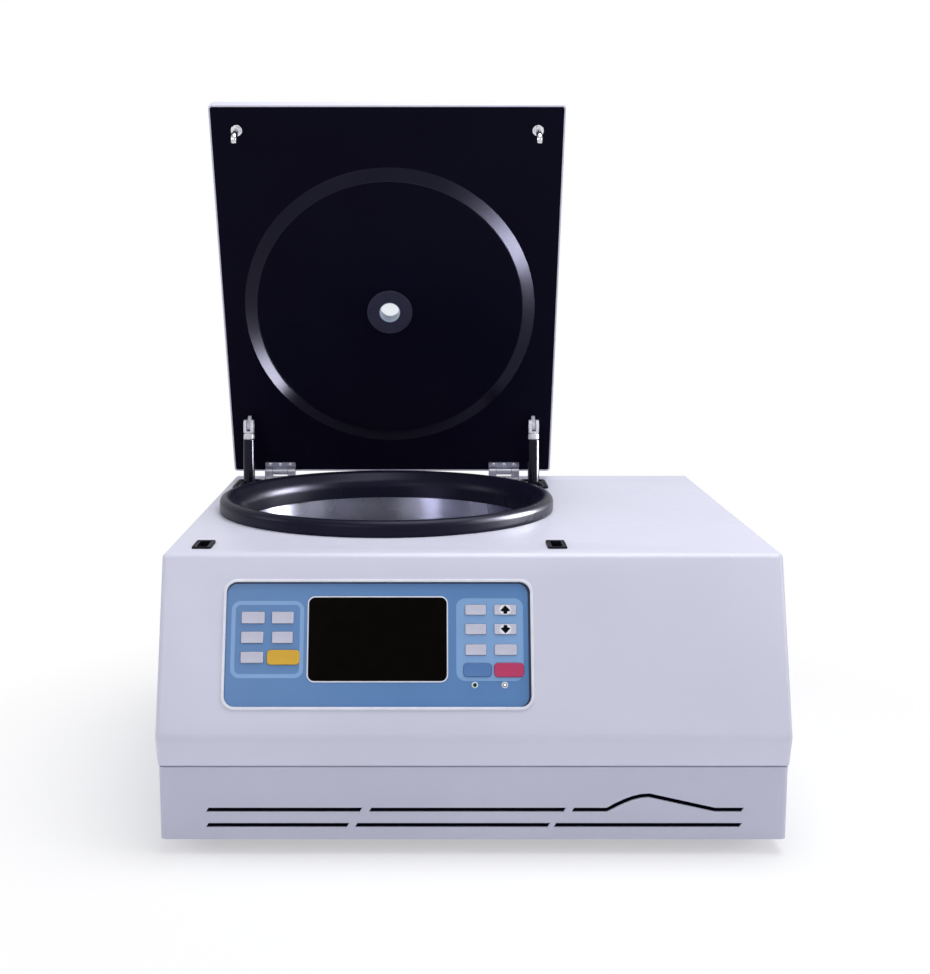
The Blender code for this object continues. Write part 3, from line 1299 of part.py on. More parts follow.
def build_latches():
    for side, x in sides_of(STRIKER_OFFSET):
        place = Matrix.Translation((x, LATCH_Y, DECK_Z))
        axis = place_empty(f"latch_{side}", place)
        long = LATCH_LENGTH / 2
        collar = prism(latch_outline(0), -LATCH_DEPTH, LATCH_PROUD, "Z")
        case = make(f"latch_case_{side}", collar, "black_plastic", axis)
        seat = -SHEET - FIT
        fuse(case, prism(latch_outline(LATCH_FLANGE), seat - LATCH_FLANGE_THICKNESS, seat, "Z"))
        bolt_low = BOLT_Z - DECK_Z
        bolt_high = bolt_low + BOLT_HEIGHT
        bolt_half = BOLT_WIDTH / 2
        box_half = bolt_half + SOLENOID_WALL
        box_high = min(bolt_high + SOLENOID_WALL, seat)
        box_low = (-box_half, long - SHEET, bolt_low - SOLENOID_WALL * 3)
        fuse(case, block(box_low, (box_half, long + SOLENOID_LENGTH, box_high)))
        well_rear = WELL_LENGTH / 2
        well_wide = WELL_WIDTH / 2
        well = block((-well_wide, -well_rear, -WELL_DEPTH), (well_wide, well_rear, OVERRUN))
        cut(case, well)
        channel_low = (-bolt_half - FIT, well_rear - SHEET, bolt_low - FIT)
        channel_high = (bolt_half + FIT, long + SOLENOID_LENGTH + OVERRUN, bolt_high + FIT)
        cut(case, block(channel_low, channel_high))
        bolt = block((-bolt_half, well_rear + FIT, bolt_low), (bolt_half, well_rear + BOLT_LENGTH, bolt_high))
        round_edges(bolt, BOLT_NOSE, 1, lambda a, b: max(a.y, b.y) < well_rear + BOLT_NOSE)
        make(f"latch_bolt_{side}", bolt, "steel", axis)


def build_lid(lid):
    half = LID_HALF_WIDTH
    top = LID_UNDERSIDE + LID_THICKNESS
    centre_y = -CHAMBER_FROM_HINGE
    shell_box = block((-half, -LID_FRONT, LID_UNDERSIDE), (half, LID_BEHIND_HINGE, top))
    round_edges(shell_box, LID_CORNER, 2, lambda a, b: along("Z")(a, b))
    round_edges(shell_box, SHEET, 1, lambda a, b: min(a.z, b.z) > top - FIT)
    shell = make("lid_shell", shell_box, "casing_paint", lid)
    inner = half - SHEET
    hollow = block(
        (-inner, SHEET - LID_FRONT, LID_UNDERSIDE - OVERRUN),
        (inner, LID_BEHIND_HINGE - SHEET, top - SHEET),
    )
    round_edges(hollow, LID_CORNER - SHEET, 1, along("Z"))
    cut(shell, hollow)
    for x in (-STRUT_OFFSET, STRUT_OFFSET):
        fuse(shell, moved(strut_lug(top - SHEET / 2), x))
        eye = rod(STRUT_PIN_RADIUS + FIT, -LUG_THICKNESS, LUG_THICKNESS, SMALL, "X")
        cut(shell, moved(eye, x, -STRUT_STUD_ALONG, LID_UNDERSIDE - STRUT_STUD_OFF))
    barrel = PORT_BARREL_RADIUS + FIT
    cut(shell, moved(rod(barrel, top - SHEET - OVERRUN, top + OVERRUN, MEDIUM), 0, centre_y))

    edge = inner - FIT
    back = top - SHEET - LINER_BACK_GAP
    liner_box = block(
        (-edge, SHEET + FIT - LID_FRONT, LID_UNDERSIDE),
        (edge, LID_BEHIND_HINGE - SHEET - FIT, back),
    )
    round_edges(liner_box, LID_CORNER - SHEET, 1, along("Z"))
    liner = make("lid_liner", liner_box, "liner", lid)
    face = LID_UNDERSIDE - DISC_DEPTH
    disc = [
        (0, LID_UNDERSIDE + LINER_WALL / 2),
        (DISC_RADIUS, LID_UNDERSIDE + LINER_WALL / 2),
        (DISC_RADIUS, LID_UNDERSIDE),
        (DISC_FACE_RADIUS, face),
        (0, face),
    ]
    fuse(liner, moved(turned(disc, ROUND), 0, centre_y))
    wall = edge - LINER_WALL
    cut(liner, block(
        (-wall, SHEET + FIT + LINER_WALL - LID_FRONT, LID_UNDERSIDE + LINER_WALL),
        (wall, LID_BEHIND_HINGE - SHEET - FIT - LINER_WALL, back + OVERRUN),
    ))
    dish = [
        (0, LID_UNDERSIDE + LINER_WALL + OVERRUN),
        (DISC_RADIUS - LINER_WALL, LID_UNDERSIDE + LINER_WALL + OVERRUN),
        (DISC_RADIUS - LINER_WALL, LID_UNDERSIDE + LINER_WALL),
        (DISC_FACE_RADIUS - LINER_WALL, face + LINER_WALL),
        (0, face + LINER_WALL),
    ]
    cut(liner, moved(turned(dish, ROUND), 0, centre_y))
    cut(liner, moved(rod(barrel, face - OVERRUN, back + OVERRUN, MEDIUM), 0, centre_y))
    for x in (-STRUT_OFFSET, STRUT_OFFSET):
        wide = LUG_THICKNESS / 2 + FIT * 2
        long = LUG_LENGTH / 2 + FIT * 2
        low = (x - wide, -STRUT_STUD_ALONG - long, LID_UNDERSIDE - OVERRUN)
        cut(liner, block(low, (x + wide, long - STRUT_STUD_ALONG, back + OVERRUN)))

    seat = face - FIT
    rim = seat - PORT_FLANGE_THICKNESS
    ledge = top - PORT_SEAT_DEPTH
    flange = [
        (PORT_RADIUS, rim),
        (PORT_FLANGE_RADIUS - PORT_CHAMFER, rim),
        (PORT_FLANGE_RADIUS, rim + PORT_CHAMFER),
        (PORT_FLANGE_RADIUS, seat),
        (PORT_BARREL_RADIUS, seat),
        (PORT_BARREL_RADIUS, top),
        (PORT_SEAT_RADIUS, top),
        (PORT_SEAT_RADIUS, ledge),
        (PORT_RADIUS, ledge),
    ]
    make("port_flange", moved(turned(flange, MEDIUM), 0, centre_y), "steel", lid)
    pane = rod(PORT_SEAT_RADIUS - FIT, ledge + FIT, ledge + FIT + WINDOW_THICKNESS, MEDIUM)
    make("port_window", moved(pane, 0, centre_y), "glass", lid)

    for side, x in (("left", -STRIKER_OFFSET), ("right", STRIKER_OFFSET)):
        striker = rod(STRIKER_FLANGE_RADIUS, -STRIKER_FLANGE_THICKNESS, 0, SMALL)
        place = Matrix.Translation((x, -STRIKER_FROM_HINGE, LID_UNDERSIDE - FIT))
        piece = make(f"striker_{side}", striker, "stainless", lid, place)
        low = STRIKER_RADIUS - STRIKER_LENGTH + FIT
        bend = arc((STRIKER_BEND, low + STRIKER_BEND), STRIKER_BEND, 180, 270, 3)
        path = [(0, 0, -STRIKER_FLANGE_THICKNESS / 2)]
        path += [(0, y, z) for y, z in bend]
        path.append((0, STRIKER_HOOK, low))
        fuse(piece, swept(path, STRIKER_RADIUS, 8))


def strut_lug(top):
    """The welded lug that carries a strut's clevis, ending in a round eye below the liner."""
    eye = (-STRUT_STUD_ALONG, LID_UNDERSIDE - STRUT_STUD_OFF)
    half = LUG_LENGTH / 2
    outline = [
        (eye[0] - half, top),
        (eye[0] - half, LID_UNDERSIDE),
        *arc(eye, LUG_RADIUS, 180, 360, 8),
        (eye[0] + half, LID_UNDERSIDE),
        (eye[0] + half, top),
    ]
    return prism(outline, -LUG_THICKNESS / 2, LUG_THICKNESS / 2, "X")


def build_hinges(lid):
    for side, x in sides_of(HINGE_OFFSET):
        place = Matrix.Translation((x, HINGE_Y, HINGE_Z))
        half = HINGE_WIDTH / 2
        base_z = FIT - HINGE_RISE
        front = HINGE_BASE_LENGTH / 2
        base = block((-half, -front, base_z), (half, front, base_z + HINGE_BASE_THICKNESS))
        bracket = make(f"hinge_bracket_{side}", base, "steel", place=place)
        start = KNUCKLE_WIDTH / 2 + FIT
        for low, high in ((-half, -start), (start, half)):
            outline = [
                (-KNUCKLE_RADIUS, base_z + HINGE_BASE_THICKNESS / 2),
                (KNUCKLE_RADIUS, base_z + HINGE_BASE_THICKNESS / 2),
                *arc((0, 0), KNUCKLE_RADIUS, 0, 180, 8),
            ]
            fuse(bracket, prism(outline, low, high, "X"))
        fuse(bracket, rod(HINGE_PIN_RADIUS, -half + SHEET, half - SHEET, SMALL, "X"))

        top = LID_UNDERSIDE - FIT
        leaf_x = x - CHAMBER_X
        leaf_low = (-half, -HINGE_LEAF_LENGTH, top - HINGE_LEAF_THICKNESS)
        leaf_shape = block(leaf_low, (half, KNUCKLE_RADIUS - SHEET, top))
        leaf = make(f"hinge_leaf_{side}", leaf_shape, "steel", lid, Matrix.Translation((leaf_x, 0, 0)))
        wide = KNUCKLE_WIDTH / 2
        fuse(leaf, rod(KNUCKLE_RADIUS, -wide, wide, SMALL, "X"))
        web = KNUCKLE_RADIUS - SHEET
        fuse(leaf, block((-wide, -web, 0), (wide, web, top - HINGE_LEAF_THICKNESS / 2)))
        cut(leaf, rod(HINGE_PIN_RADIUS + FIT, -half, half, SMALL, "X"))


def strut_line(x):
    """Where a strut's upper pin is with the lid open, its length, and its lean from upright."""
    stud = LID_PLACE @ Vector((x - CHAMBER_X, -STRUT_STUD_ALONG, LID_UNDERSIDE - STRUT_STUD_OFF))
    foot = Vector((x, HINGE_Y - STRUT_FOOT_AHEAD, HINGE_Z - STRUT_FOOT_DROP))
    run = foot - stud
    return stud, run.length, math.atan2(run.y, -run.z)


def build_struts():
    for side, x in sides_of(STRUT_OFFSET):
        stud, length, lean = strut_line(x)
        axis = place_empty(f"strut_{side}", Matrix.Translation(stud) @ Matrix.Rotation(lean, 4, "X"))
        wide, deep = CLEVIS_WIDTH / 2, CLEVIS_DEPTH / 2
        fork = [(-deep, -CLEVIS_DROP), (deep, -CLEVIS_DROP), *arc((0, CLEVIS_RISE), deep, 0, 180, 8)]
        tube = make(f"strut_tube_{side}", prism(fork, -wide, wide, "X"), "black_steel", axis)
        slot = CLEVIS_SLOT / 2
        above = CLEVIS_RISE + deep + OVERRUN
        cut(tube, block((-slot, -deep - OVERRUN, -CLEVIS_THROAT), (slot, deep + OVERRUN, above)))
        fuse(tube, rod(STRUT_PIN_RADIUS, SHEET / 2 - wide, wide - SHEET / 2, SMALL, "X"))
        neck = -CLEVIS_DROP - NECK_LENGTH
        collar = neck - COLLAR_LENGTH
        barrel = [
            (0, SHEET / 2 - CLEVIS_DROP),
            (NECK_RADIUS, SHEET / 2 - CLEVIS_DROP),
            (NECK_RADIUS, neck),
            (COLLAR_RADIUS, neck),
            (COLLAR_RADIUS, collar),
            (TUBE_RADIUS - TUBE_EDGE, collar),
            (TUBE_RADIUS, collar - TUBE_EDGE),
            (TUBE_RADIUS, TUBE_EDGE - TUBE_END),
            (TUBE_RADIUS - TUBE_EDGE, -TUBE_END),
            (ROD_RADIUS + FIT, -TUBE_END),
            (ROD_RADIUS + FIT, TUBE_GLAND - TUBE_END),
            (TUBE_BORE_RADIUS, TUBE_GLAND - TUBE_END),
            (TUBE_BORE_RADIUS, collar - COLLAR_LENGTH),
            (0, collar - COLLAR_LENGTH),
        ]
        fuse(tube, turned(barrel, SMALL))

        gland = TUBE_GLAND - TUBE_END + FIT
        piston = TUBE_BORE_RADIUS - FIT
        rod_profile = [
            (0, gland + PISTON_LENGTH),
            (piston, gland + PISTON_LENGTH),
            (piston, gland),
            (ROD_RADIUS, gland),
            (ROD_RADIUS, -length),
            (0, -length),
        ]
        piece = make(f"strut_rod_{side}", turned(rod_profile, SMALL), "stainless", axis)
        eye_half = ROD_EYE_WIDTH / 2
        fuse(piece, moved(rod(ROD_EYE_RADIUS, -eye_half, eye_half, SMALL, "X"), 0, 0, -length))
        pin_half = ROD_PIN_LENGTH / 2
        fuse(piece, moved(rod(STRUT_PIN_RADIUS, -pin_half, pin_half, SMALL, "X"), 0, 0, -length))


def main():
    clear_scene()
    build_base_tray()
    build_upper_casing()
    build_rear_panel()
    build_feet()
    build_control_panel()
    axis = place_empty("chamber_axis", CHAMBER_PLACE)
    build_chamber(axis)
    build_motor(axis)
    build_rotor(axis)
    build_cooling()
    build_inlet()
    build_latches()
    lid = place_empty("lid_hinge_axis", LID_PLACE)
    build_lid(lid)
    build_hinges(lid)
    build_struts()


main()
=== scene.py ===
"""The looks of a bench-top high-speed refrigerated centrifuge, shown with its lid open.

Every length is in metres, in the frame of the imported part: +X to the machine's right, +Y to the
rear, +Z up, with the origin on the bench under the middle of the housing.
"""

import json
from math import atan2, cos, pi, radians, sin, tan

import bmesh
import bpy
from mathutils import Matrix, Vector


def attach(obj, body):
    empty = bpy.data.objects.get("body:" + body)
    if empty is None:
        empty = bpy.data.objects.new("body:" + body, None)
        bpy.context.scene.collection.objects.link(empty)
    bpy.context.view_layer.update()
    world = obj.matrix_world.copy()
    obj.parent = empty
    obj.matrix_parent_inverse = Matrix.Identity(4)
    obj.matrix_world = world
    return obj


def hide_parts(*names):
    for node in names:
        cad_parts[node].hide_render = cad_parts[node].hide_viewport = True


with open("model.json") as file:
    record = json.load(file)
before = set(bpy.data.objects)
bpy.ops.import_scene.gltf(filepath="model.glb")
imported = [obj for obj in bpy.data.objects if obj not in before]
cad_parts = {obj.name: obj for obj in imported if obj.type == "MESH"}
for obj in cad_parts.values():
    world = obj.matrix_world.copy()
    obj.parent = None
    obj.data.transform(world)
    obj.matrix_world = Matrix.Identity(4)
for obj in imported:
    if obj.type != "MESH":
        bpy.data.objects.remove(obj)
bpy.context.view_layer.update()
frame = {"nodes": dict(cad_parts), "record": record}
nodes = frame["nodes"]

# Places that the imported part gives
FRONT_Y = -0.34
PANEL_Y = 0.334
CREASE_Z = 0.137
DECK_Z = 0.3294
CHAMBER_X = -0.106
CHAMBER_Y = 0.0464
HINGE_Y = 0.304
HINGE_Z = 0.3417
LID_OPENING = radians(70.3)
FACE_SET_BACK = 0.074
FACE_LEAN = atan2(FACE_SET_BACK, DECK_Z - CREASE_Z)
SHEET = 0.002

# The gap between seated pieces, what lies under the deck's sheet, and how far cutters reach past a piece
FIT = 0.0003
UNDER_SHEET = SHEET + FIT
OVERRUN = 0.004

FACE = Matrix.Translation((0, FRONT_Y, CREASE_Z)) @ Matrix.Rotation(-FACE_LEAN, 4, "X")
LID = Matrix.Translation((CHAMBER_X, HINGE_Y, HINGE_Z)) @ Matrix.Rotation(-LID_OPENING, 4, "X")
CHAMBER = Matrix.Translation((CHAMBER_X, CHAMBER_Y, 0))
SIDES = (("left", -1), ("right", 1))

VIOLET_GLOSS = (0.74, 0.74, 1.0, 1)

materials = {}


# Node helpers

class Shader:
    """A Principled material and short ways to add nodes to it."""

    def __init__(self, name, colour, roughness, metallic=0.0, **sockets):
        self.material = bpy.data.materials.new(name)
        self.material.use_nodes = True
        self.tree = self.material.node_tree
        self.bsdf = self.tree.nodes["Principled BSDF"]
        self.set("Base Color", (*colour, 1))
        self.set("Roughness", roughness)
        self.set("Metallic", metallic)
        for key, value in sockets.items():
            self.set(key.replace("_", " "), value)
        self.place = self.tree.nodes.new("ShaderNodeTexCoord").outputs["Object"]
        materials[name] = self.material

    def set(self, socket, value):
        self.bsdf.inputs[socket].default_value = value

    def link(self, out, into):
        self.tree.links.new(out, into)

    def add(self, kind, **values):
        node = self.tree.nodes.new(kind)
        for key, value in values.items():
            setattr(node, key, value)
        return node

    def stretched(self, scale):
        node = self.add("ShaderNodeMapping")
        node.inputs["Scale"].default_value = scale
        self.link(self.place, node.inputs["Vector"])
        return node.outputs["Vector"]

    def noise(self, scale, detail=3, place=None):
        node = self.add("ShaderNodeTexNoise")
        node.inputs["Scale"].default_value = scale
        node.inputs["Detail"].default_value = detail
        self.link(place or self.place, node.inputs["Vector"])
        return node.outputs["Fac"]

    def spread(self, value, low, high, start=0.3, end=0.7):
        node = self.add("ShaderNodeMapRange")
        for key, number in (("From Min", start), ("From Max", end), ("To Min", low), ("To Max", high)):
            node.inputs[key].default_value = number
        self.link(value, node.inputs["Value"])
        return node.outputs["Result"]

    def blend(self, share, first, second):
        node = self.add("ShaderNodeMix", data_type="RGBA")
        self.link(share, node.inputs[0])
        for socket, colour in ((node.inputs[6], first), (node.inputs[7], second)):
            if isinstance(colour, tuple):
                socket.default_value = (*colour, 1)
            else:
                self.link(colour, socket)
        return node.outputs[2]

    def mottle(self, value, first, second):
        """The base colour wanders between two colours."""
        mixed = self.blend(value, first, second)
        self.link(mixed, self.bsdf.inputs["Base Color"])
        return mixed

    def drift(self, scale, first, second):
        """The base colour wanders with a slow noise."""
        self.mottle(self.spread(self.noise(scale), 0, 1), first, second)

    def gloss(self, value, low, high):
        self.link(self.spread(value, low, high), self.bsdf.inputs["Roughness"])

    def bump(self, value, strength, distance):
        node = self.add("ShaderNodeBump")
        node.inputs["Strength"].default_value = strength
        node.inputs["Distance"].default_value = distance
        self.link(value, node.inputs["Height"])
        self.link(node.outputs["Normal"], self.bsdf.inputs["Normal"])

    def lathed(self, amount, rotation=0.0):
        """Brush lines that run round the object's own Z axis."""
        self.set("Anisotropic", amount)
        self.set("Anisotropic Rotation", rotation)
        around = self.add("ShaderNodeTangent", direction_type="RADIAL", axis="Z")
        self.link(around.outputs["Tangent"], self.bsdf.inputs["Tangent"])


def shade(colour, factor):
    return tuple(min(1.0, c * factor) for c in colour)


def paint(name, colour, roughness=0.38):
    """Powder coat: orange peel, a slow drift of tone, and paler sharp edges."""
    s = Shader(name, colour, roughness, Coat_Weight=0.05, Coat_Roughness=0.25)
    drift = s.noise(5.0, 4)
    mixed = s.blend(s.spread(drift, 0, 1), shade(colour, 0.965), shade(colour, 1.02))
    # Sharp convex edges, found by the mesh's pointiness, turn paler.
    edge = s.add("ShaderNodeNewGeometry").outputs["Pointiness"]
    paler_edges = s.blend(s.spread(edge, 0, 0.35, 0.53, 0.6), mixed, shade(colour, 1.12))
    s.link(paler_edges, s.bsdf.inputs["Base Color"])
    s.gloss(s.noise(60.0, 3), roughness - 0.04, roughness + 0.06)
    s.bump(s.noise(900.0, 2), 0.1, 0.0002)


def plastic(name, colour, roughness, grain=1500.0, strength=0.08, coat=0.0, shine=0.5):
    """Moulded plastic with a fine spark-eroded grain."""
    s = Shader(name, colour, roughness, Coat_Weight=coat, Coat_Roughness=0.2, Specular_IOR_Level=shine)
    s.mottle(s.spread(s.noise(40.0, 4), 0, 1), shade(colour, 0.93), shade(colour, 1.06))
    s.gloss(s.noise(180.0, 3), roughness - 0.05, roughness + 0.07)
    s.bump(s.noise(grain, 2), strength, 0.0001)


def metal(name, colour, roughness, streak=(30.0, 30.0, 1400.0), strength=0.05, ring=False):
    """Bare metal with fine tool or brush lines."""
    s = Shader(name, colour, roughness, 1.0)
    lines = s.noise(1.0, 4, s.stretched(streak))
    dull, bright = (0.96, 1.03) if ring else (0.88, 1.06)
    down, up = (0.02, 0.03) if ring else (0.06, 0.09)
    s.mottle(s.spread(lines, 0, 1), shade(colour, dull), shade(colour, bright))
    s.gloss(lines, roughness - down, roughness + up)
    s.bump(lines, strength, 0.00005)
    if ring:
        s.lathed(0.7)


def print_film(name, colour, roughness):
    """A printed panel film: fine print dots under a satin skin."""
    s = Shader(name, colour, roughness, Coat_Weight=0.25, Coat_Roughness=0.3)
    slow = s.blend(s.spread(s.noise(12.0, 3), 0, 1), shade(colour, 0.95), shade(colour, 1.05))
    dots = s.add("ShaderNodeTexVoronoi")
    dots.inputs["Scale"].default_value = 1400.0
    s.link(s.place, dots.inputs["Vector"])
    mixed = s.blend(s.spread(dots.outputs["Distance"], 0, 0.25, 0.2, 0.6), slow, shade(colour, 1.12))
    s.link(mixed, s.bsdf.inputs["Base Color"])
    s.gloss(s.noise(300.0, 2), roughness - 0.05, roughness + 0.05)
    s.bump(dots.outputs["Distance"], 0.04, 0.00005)


def make_painted():
    paint("casing", (0.645, 0.645, 0.76))
    paint("tray", (0.545, 0.545, 0.665), 0.42)
    print_film("film_blue", (0.088, 0.215, 0.455), 0.34)
    print_film("film_light_blue", (0.205, 0.37, 0.64), 0.34)
    s = Shader("screen", (0.002, 0.0016, 0.0012), 0.1, Specular_IOR_Level=0.03)
    s.gloss(s.noise(9.0, 5, s.stretched((1.0, 1.0, 2.5))), 0.07, 0.17)
    s.mottle(s.spread(s.noise(70.0, 2), 0, 1), (0.0018, 0.0014, 0.001), (0.0026, 0.002, 0.0015))
    s = Shader("lamp_lit", (0.95, 0.88, 0.92), 0.2, Emission_Color=(1.0, 0.75, 0.82, 1))
    s.set("Emission Strength", 0.55)
    s.gloss(s.noise(400.0, 2), 0.15, 0.28)
    s = Shader("glass", (0.93, 0.96, 1.0), 0.04, Transmission_Weight=0.95, IOR=1.47)
    s.gloss(s.noise(80.0, 3), 0.03, 0.09)


def make_plastics():
    for name, colour in (
        ("key_grey", (0.57, 0.575, 0.685)),
        ("key_yellow", (0.70, 0.415, 0.045)),
        ("key_blue", (0.095, 0.205, 0.445)),
        ("key_red", (0.500, 0.050, 0.135)),
    ):
        plastic(name, colour, 0.42, 2200.0, 0.05, shine=0.25)
    # The rim is the casing's own lip, made paler than the paint: a painted highlight on its rounded edge.
    plastic("rim_painted_highlight", (0.78, 0.785, 0.86), 0.3, coat=0.2)
    plastic("halo_white", (0.8, 0.8, 0.86), 0.45, 2200.0, 0.03)
    plastic("sleeve_blue", (0.33, 0.42, 0.58), 0.3, 900.0, 0.04, 0.3)
    # Dark blue for the strip inside the panel's rim: painted shade of the panel's recess.
    plastic("recess_shade_blue", (0.018, 0.03, 0.075), 0.6, 900.0, 0.1)
    plastic("zinc", (0.8, 0.8, 0.86), 0.24, 900.0, 0.05, 0.4)
    plastic("mark_black", (0.003, 0.003, 0.005), 0.45, 2200.0, 0.03, shine=0.05)
    plastic("lamp_off", (0.006, 0.005, 0.012), 0.2, 900.0, 0.02, shine=0.2)
    plastic("board_green", (0.02, 0.13, 0.06), 0.45, 500.0, 0.1)
    plastic("foot_rubber", (0.018, 0.017, 0.02), 0.7, 900.0, 0.25)
    plastic("foam", (0.7, 0.66, 0.5), 0.92, 350.0, 0.6)
    plastic("black_paint", (0.016, 0.016, 0.019), 0.32, 900.0, 0.1, 0.3)
    plastic("black_plastic", (0.006, 0.006, 0.011), 0.38, 1600.0, 0.1, shine=0.15)
    # Near-black sheet behind the front slits: painted shade of the casing's dark inside.
    plastic("vent_shade_sheet", (0.0022, 0.002, 0.006), 0.95, 700.0, 0.3, shine=0.0)


def make_metals():
    metal("hinge_steel", (0.46, 0.46, 0.54), 0.34)
    metal("stainless", (0.68, 0.68, 0.72), 0.2)
    metal("steel", (0.5, 0.5, 0.54), 0.3)
    metal("bright_steel", (0.78, 0.78, 0.82), 0.18)
    metal("aluminium", (0.56, 0.57, 0.6), 0.3, (4.0, 4.0, 1200.0), 0.06)
    metal("rotor_metal", (0.36, 0.37, 0.41), 0.28, (3.0, 3.0, 1500.0), 0.06, ring=True)
    metal("copper", (0.7, 0.33, 0.19), 0.3)
    s = Shader("bowl_steel", (0.37, 0.37, 0.46), 0.3, 1.0)
    s.drift(6.0, (0.35, 0.35, 0.44), (0.39, 0.39, 0.48))
    s.gloss(s.noise(5.0), 0.25, 0.31)
    s.lathed(0.85, 0.25)


def make_blacks():
    """The near-black finishes of the lid, the gasket and the struts, with a violet tinge."""
    s = Shader("rubber", (0.008, 0.0075, 0.018), 0.3, Specular_IOR_Level=0.14)
    s.set("Specular Tint", VIOLET_GLOSS)
    s.drift(9.0, (0.007, 0.0065, 0.016), (0.01, 0.0092, 0.022))
    s.gloss(s.noise(14.0), 0.26, 0.34)
    s.bump(s.noise(650.0), 0.04, 0.0001)
    s = Shader("strut_black", (0.006, 0.0055, 0.012), 0.14, Specular_IOR_Level=0.35)
    s.set("Specular Tint", VIOLET_GLOSS)
    s.gloss(s.noise(120.0), 0.11, 0.18)
    s.drift(50.0, (0.005, 0.0045, 0.01), (0.008, 0.0072, 0.015))
    s = Shader("liner", (0.004, 0.0035, 0.011), 0.22, Specular_IOR_Level=0.015)
    s.drift(5.0, (0.0044, 0.0038, 0.0112), (0.0056, 0.0048, 0.0138))
    s.gloss(s.noise(20.0), 0.2, 0.25)
    s.bump(s.noise(1300.0, 2), 0.04, 0.0001)
    s = Shader("liner_gloss", (0.005, 0.0045, 0.012), 0.22, Specular_IOR_Level=0.18)
    s.set("Specular Tint", VIOLET_GLOSS)
    s.drift(5.0, (0.0044, 0.0038, 0.0112), (0.0056, 0.0048, 0.0138))
    s.gloss(s.noise(10.0), 0.22, 0.28)
    s = Shader("port_grey", (0.03, 0.03, 0.058), 0.34, Specular_IOR_Level=0.15)
    s.drift(60.0, (0.026, 0.026, 0.051), (0.034, 0.034, 0.065))
    s.bump(s.noise(1000.0, 2), 0.08, 0.0001)


# Mesh helpers: an outline holds (y, z) along X, (x, z) along Y and (x, y) along Z

SEATS = {
    "X": lambda u, v, w: (w, u, v),
    "Y": lambda u, v, w: (u, w, v),
    "Z": lambda u, v, w: (u, v, w),
}


def arc(centre, radius, start, end, steps):
    points = []
    for i in range(steps + 1):
        a = radians(start + (end - start) * i / steps)
        points.append((centre[0] + radius * cos(a), centre[1] + radius * sin(a)))
    return points


def rounded_box(left, right, low, high, radius, steps=8):
    corners = (
        ((right - radius, high - radius), 0), ((left + radius, high - radius), 90),
        ((left + radius, low + radius), 180), ((right - radius, low + radius), 270),
    )
    return [p for centre, turn in corners for p in arc(centre, radius, turn, turn + 90, steps)]


def pad(half, corner, steps=8):
    """A rounded box about zero, from its half sizes."""
    return rounded_box(-half[0], half[0], -half[1], half[1], corner, steps)


def softened(points, radii, steps=5):
    """Rounds the corners of a closed outline by {corner: radius}."""
    result = []
    count = len(points)
    for i, point in enumerate(points):
        radius = radii.get(i, 0)
        here = Vector(point)
        back = Vector(points[i - 1]) - here
        ahead = Vector(points[(i + 1) % count]) - here
        angle = back.angle(ahead, pi)
        if radius <= 0 or angle > radians(175):
            result.append(tuple(point))
            continue
        reach = min(radius / tan(angle / 2), back.length * 0.49, ahead.length * 0.49)
        start, end = here + back.normalized() * reach, here + ahead.normalized() * reach
        for k in range(steps + 1):
            t = k / steps
            result.append(tuple(start.lerp(here, t).lerp(here.lerp(end, t), t)))
    return result


def turned(profile, steps, axis="Z"):
    """A closed profile of (radius, height) points turned about an axis."""
    seat = SEATS[axis]
    shape = bmesh.new()
    angles = [2 * pi * i / steps for i in range(steps)]
    rings = []
    for radius, height in profile:
        if radius == 0:
            rings.append([shape.verts.new(seat(0, 0, height))] * steps)
        else:
            ring = [(radius * cos(a), radius * sin(a)) for a in angles]
            rings.append([shape.verts.new(seat(u, v, height)) for u, v in ring])
    for i, ring in enumerate(rings):
        after = rings[(i + 1) % len(rings)]
        for j in range(steps):
            k = (j + 1) % steps
            corners = list(dict.fromkeys((ring[j], ring[k], after[k], after[j])))
            if len(corners) > 2:
                shape.faces.new(corners)
    return shape


def section(inner, outer, low, high):
    return [(inner, low), (outer, low), (outer, high), (inner, high)]


def rod(radius, low, high, steps=32, axis="Z", edge=0.0):
    profile = section(0, radius, low, high)
    if edge:
        profile = softened(profile, {1: edge, 2: edge}, 3)
    return turned(profile, steps, axis)


def prism(outline, low, high, axis):
    """An outline pushed along an axis."""
    seat = SEATS[axis]
    shape = bmesh.new()
    near = [shape.verts.new(seat(u, v, low)) for u, v in outline]
    far = [shape.verts.new(seat(u, v, high)) for u, v in outline]
    shape.faces.new(near)
    shape.faces.new(far[::-1])
    for i in range(len(outline)):
        j = (i + 1) % len(outline)
        shape.faces.new((near[i], far[i], far[j], near[j]))
    return shape


def block(low, high):
    outline = [(low[0], low[1]), (high[0], low[1]), (high[0], high[1]), (low[0], high[1])]
    return prism(outline, low[2], high[2], "Z")


def ring_plate(outer, inner, low, high, axis):
    """A flat frame between two outlines with as many points each."""
    seat = SEATS[axis]
    shape = bmesh.new()
    loops = []
    for outline, w in ((outer, low), (outer, high), (inner, high), (inner, low)):
        loops.append([shape.verts.new(seat(u, v, w)) for u, v in outline])
    count = len(outer)
    for i in range(4):
        for j in range(count):
            k = (j + 1) % count
            shape.faces.new((loops[i][j], loops[i][k], loops[(i + 1) % 4][k], loops[(i + 1) % 4][j]))
    return shape


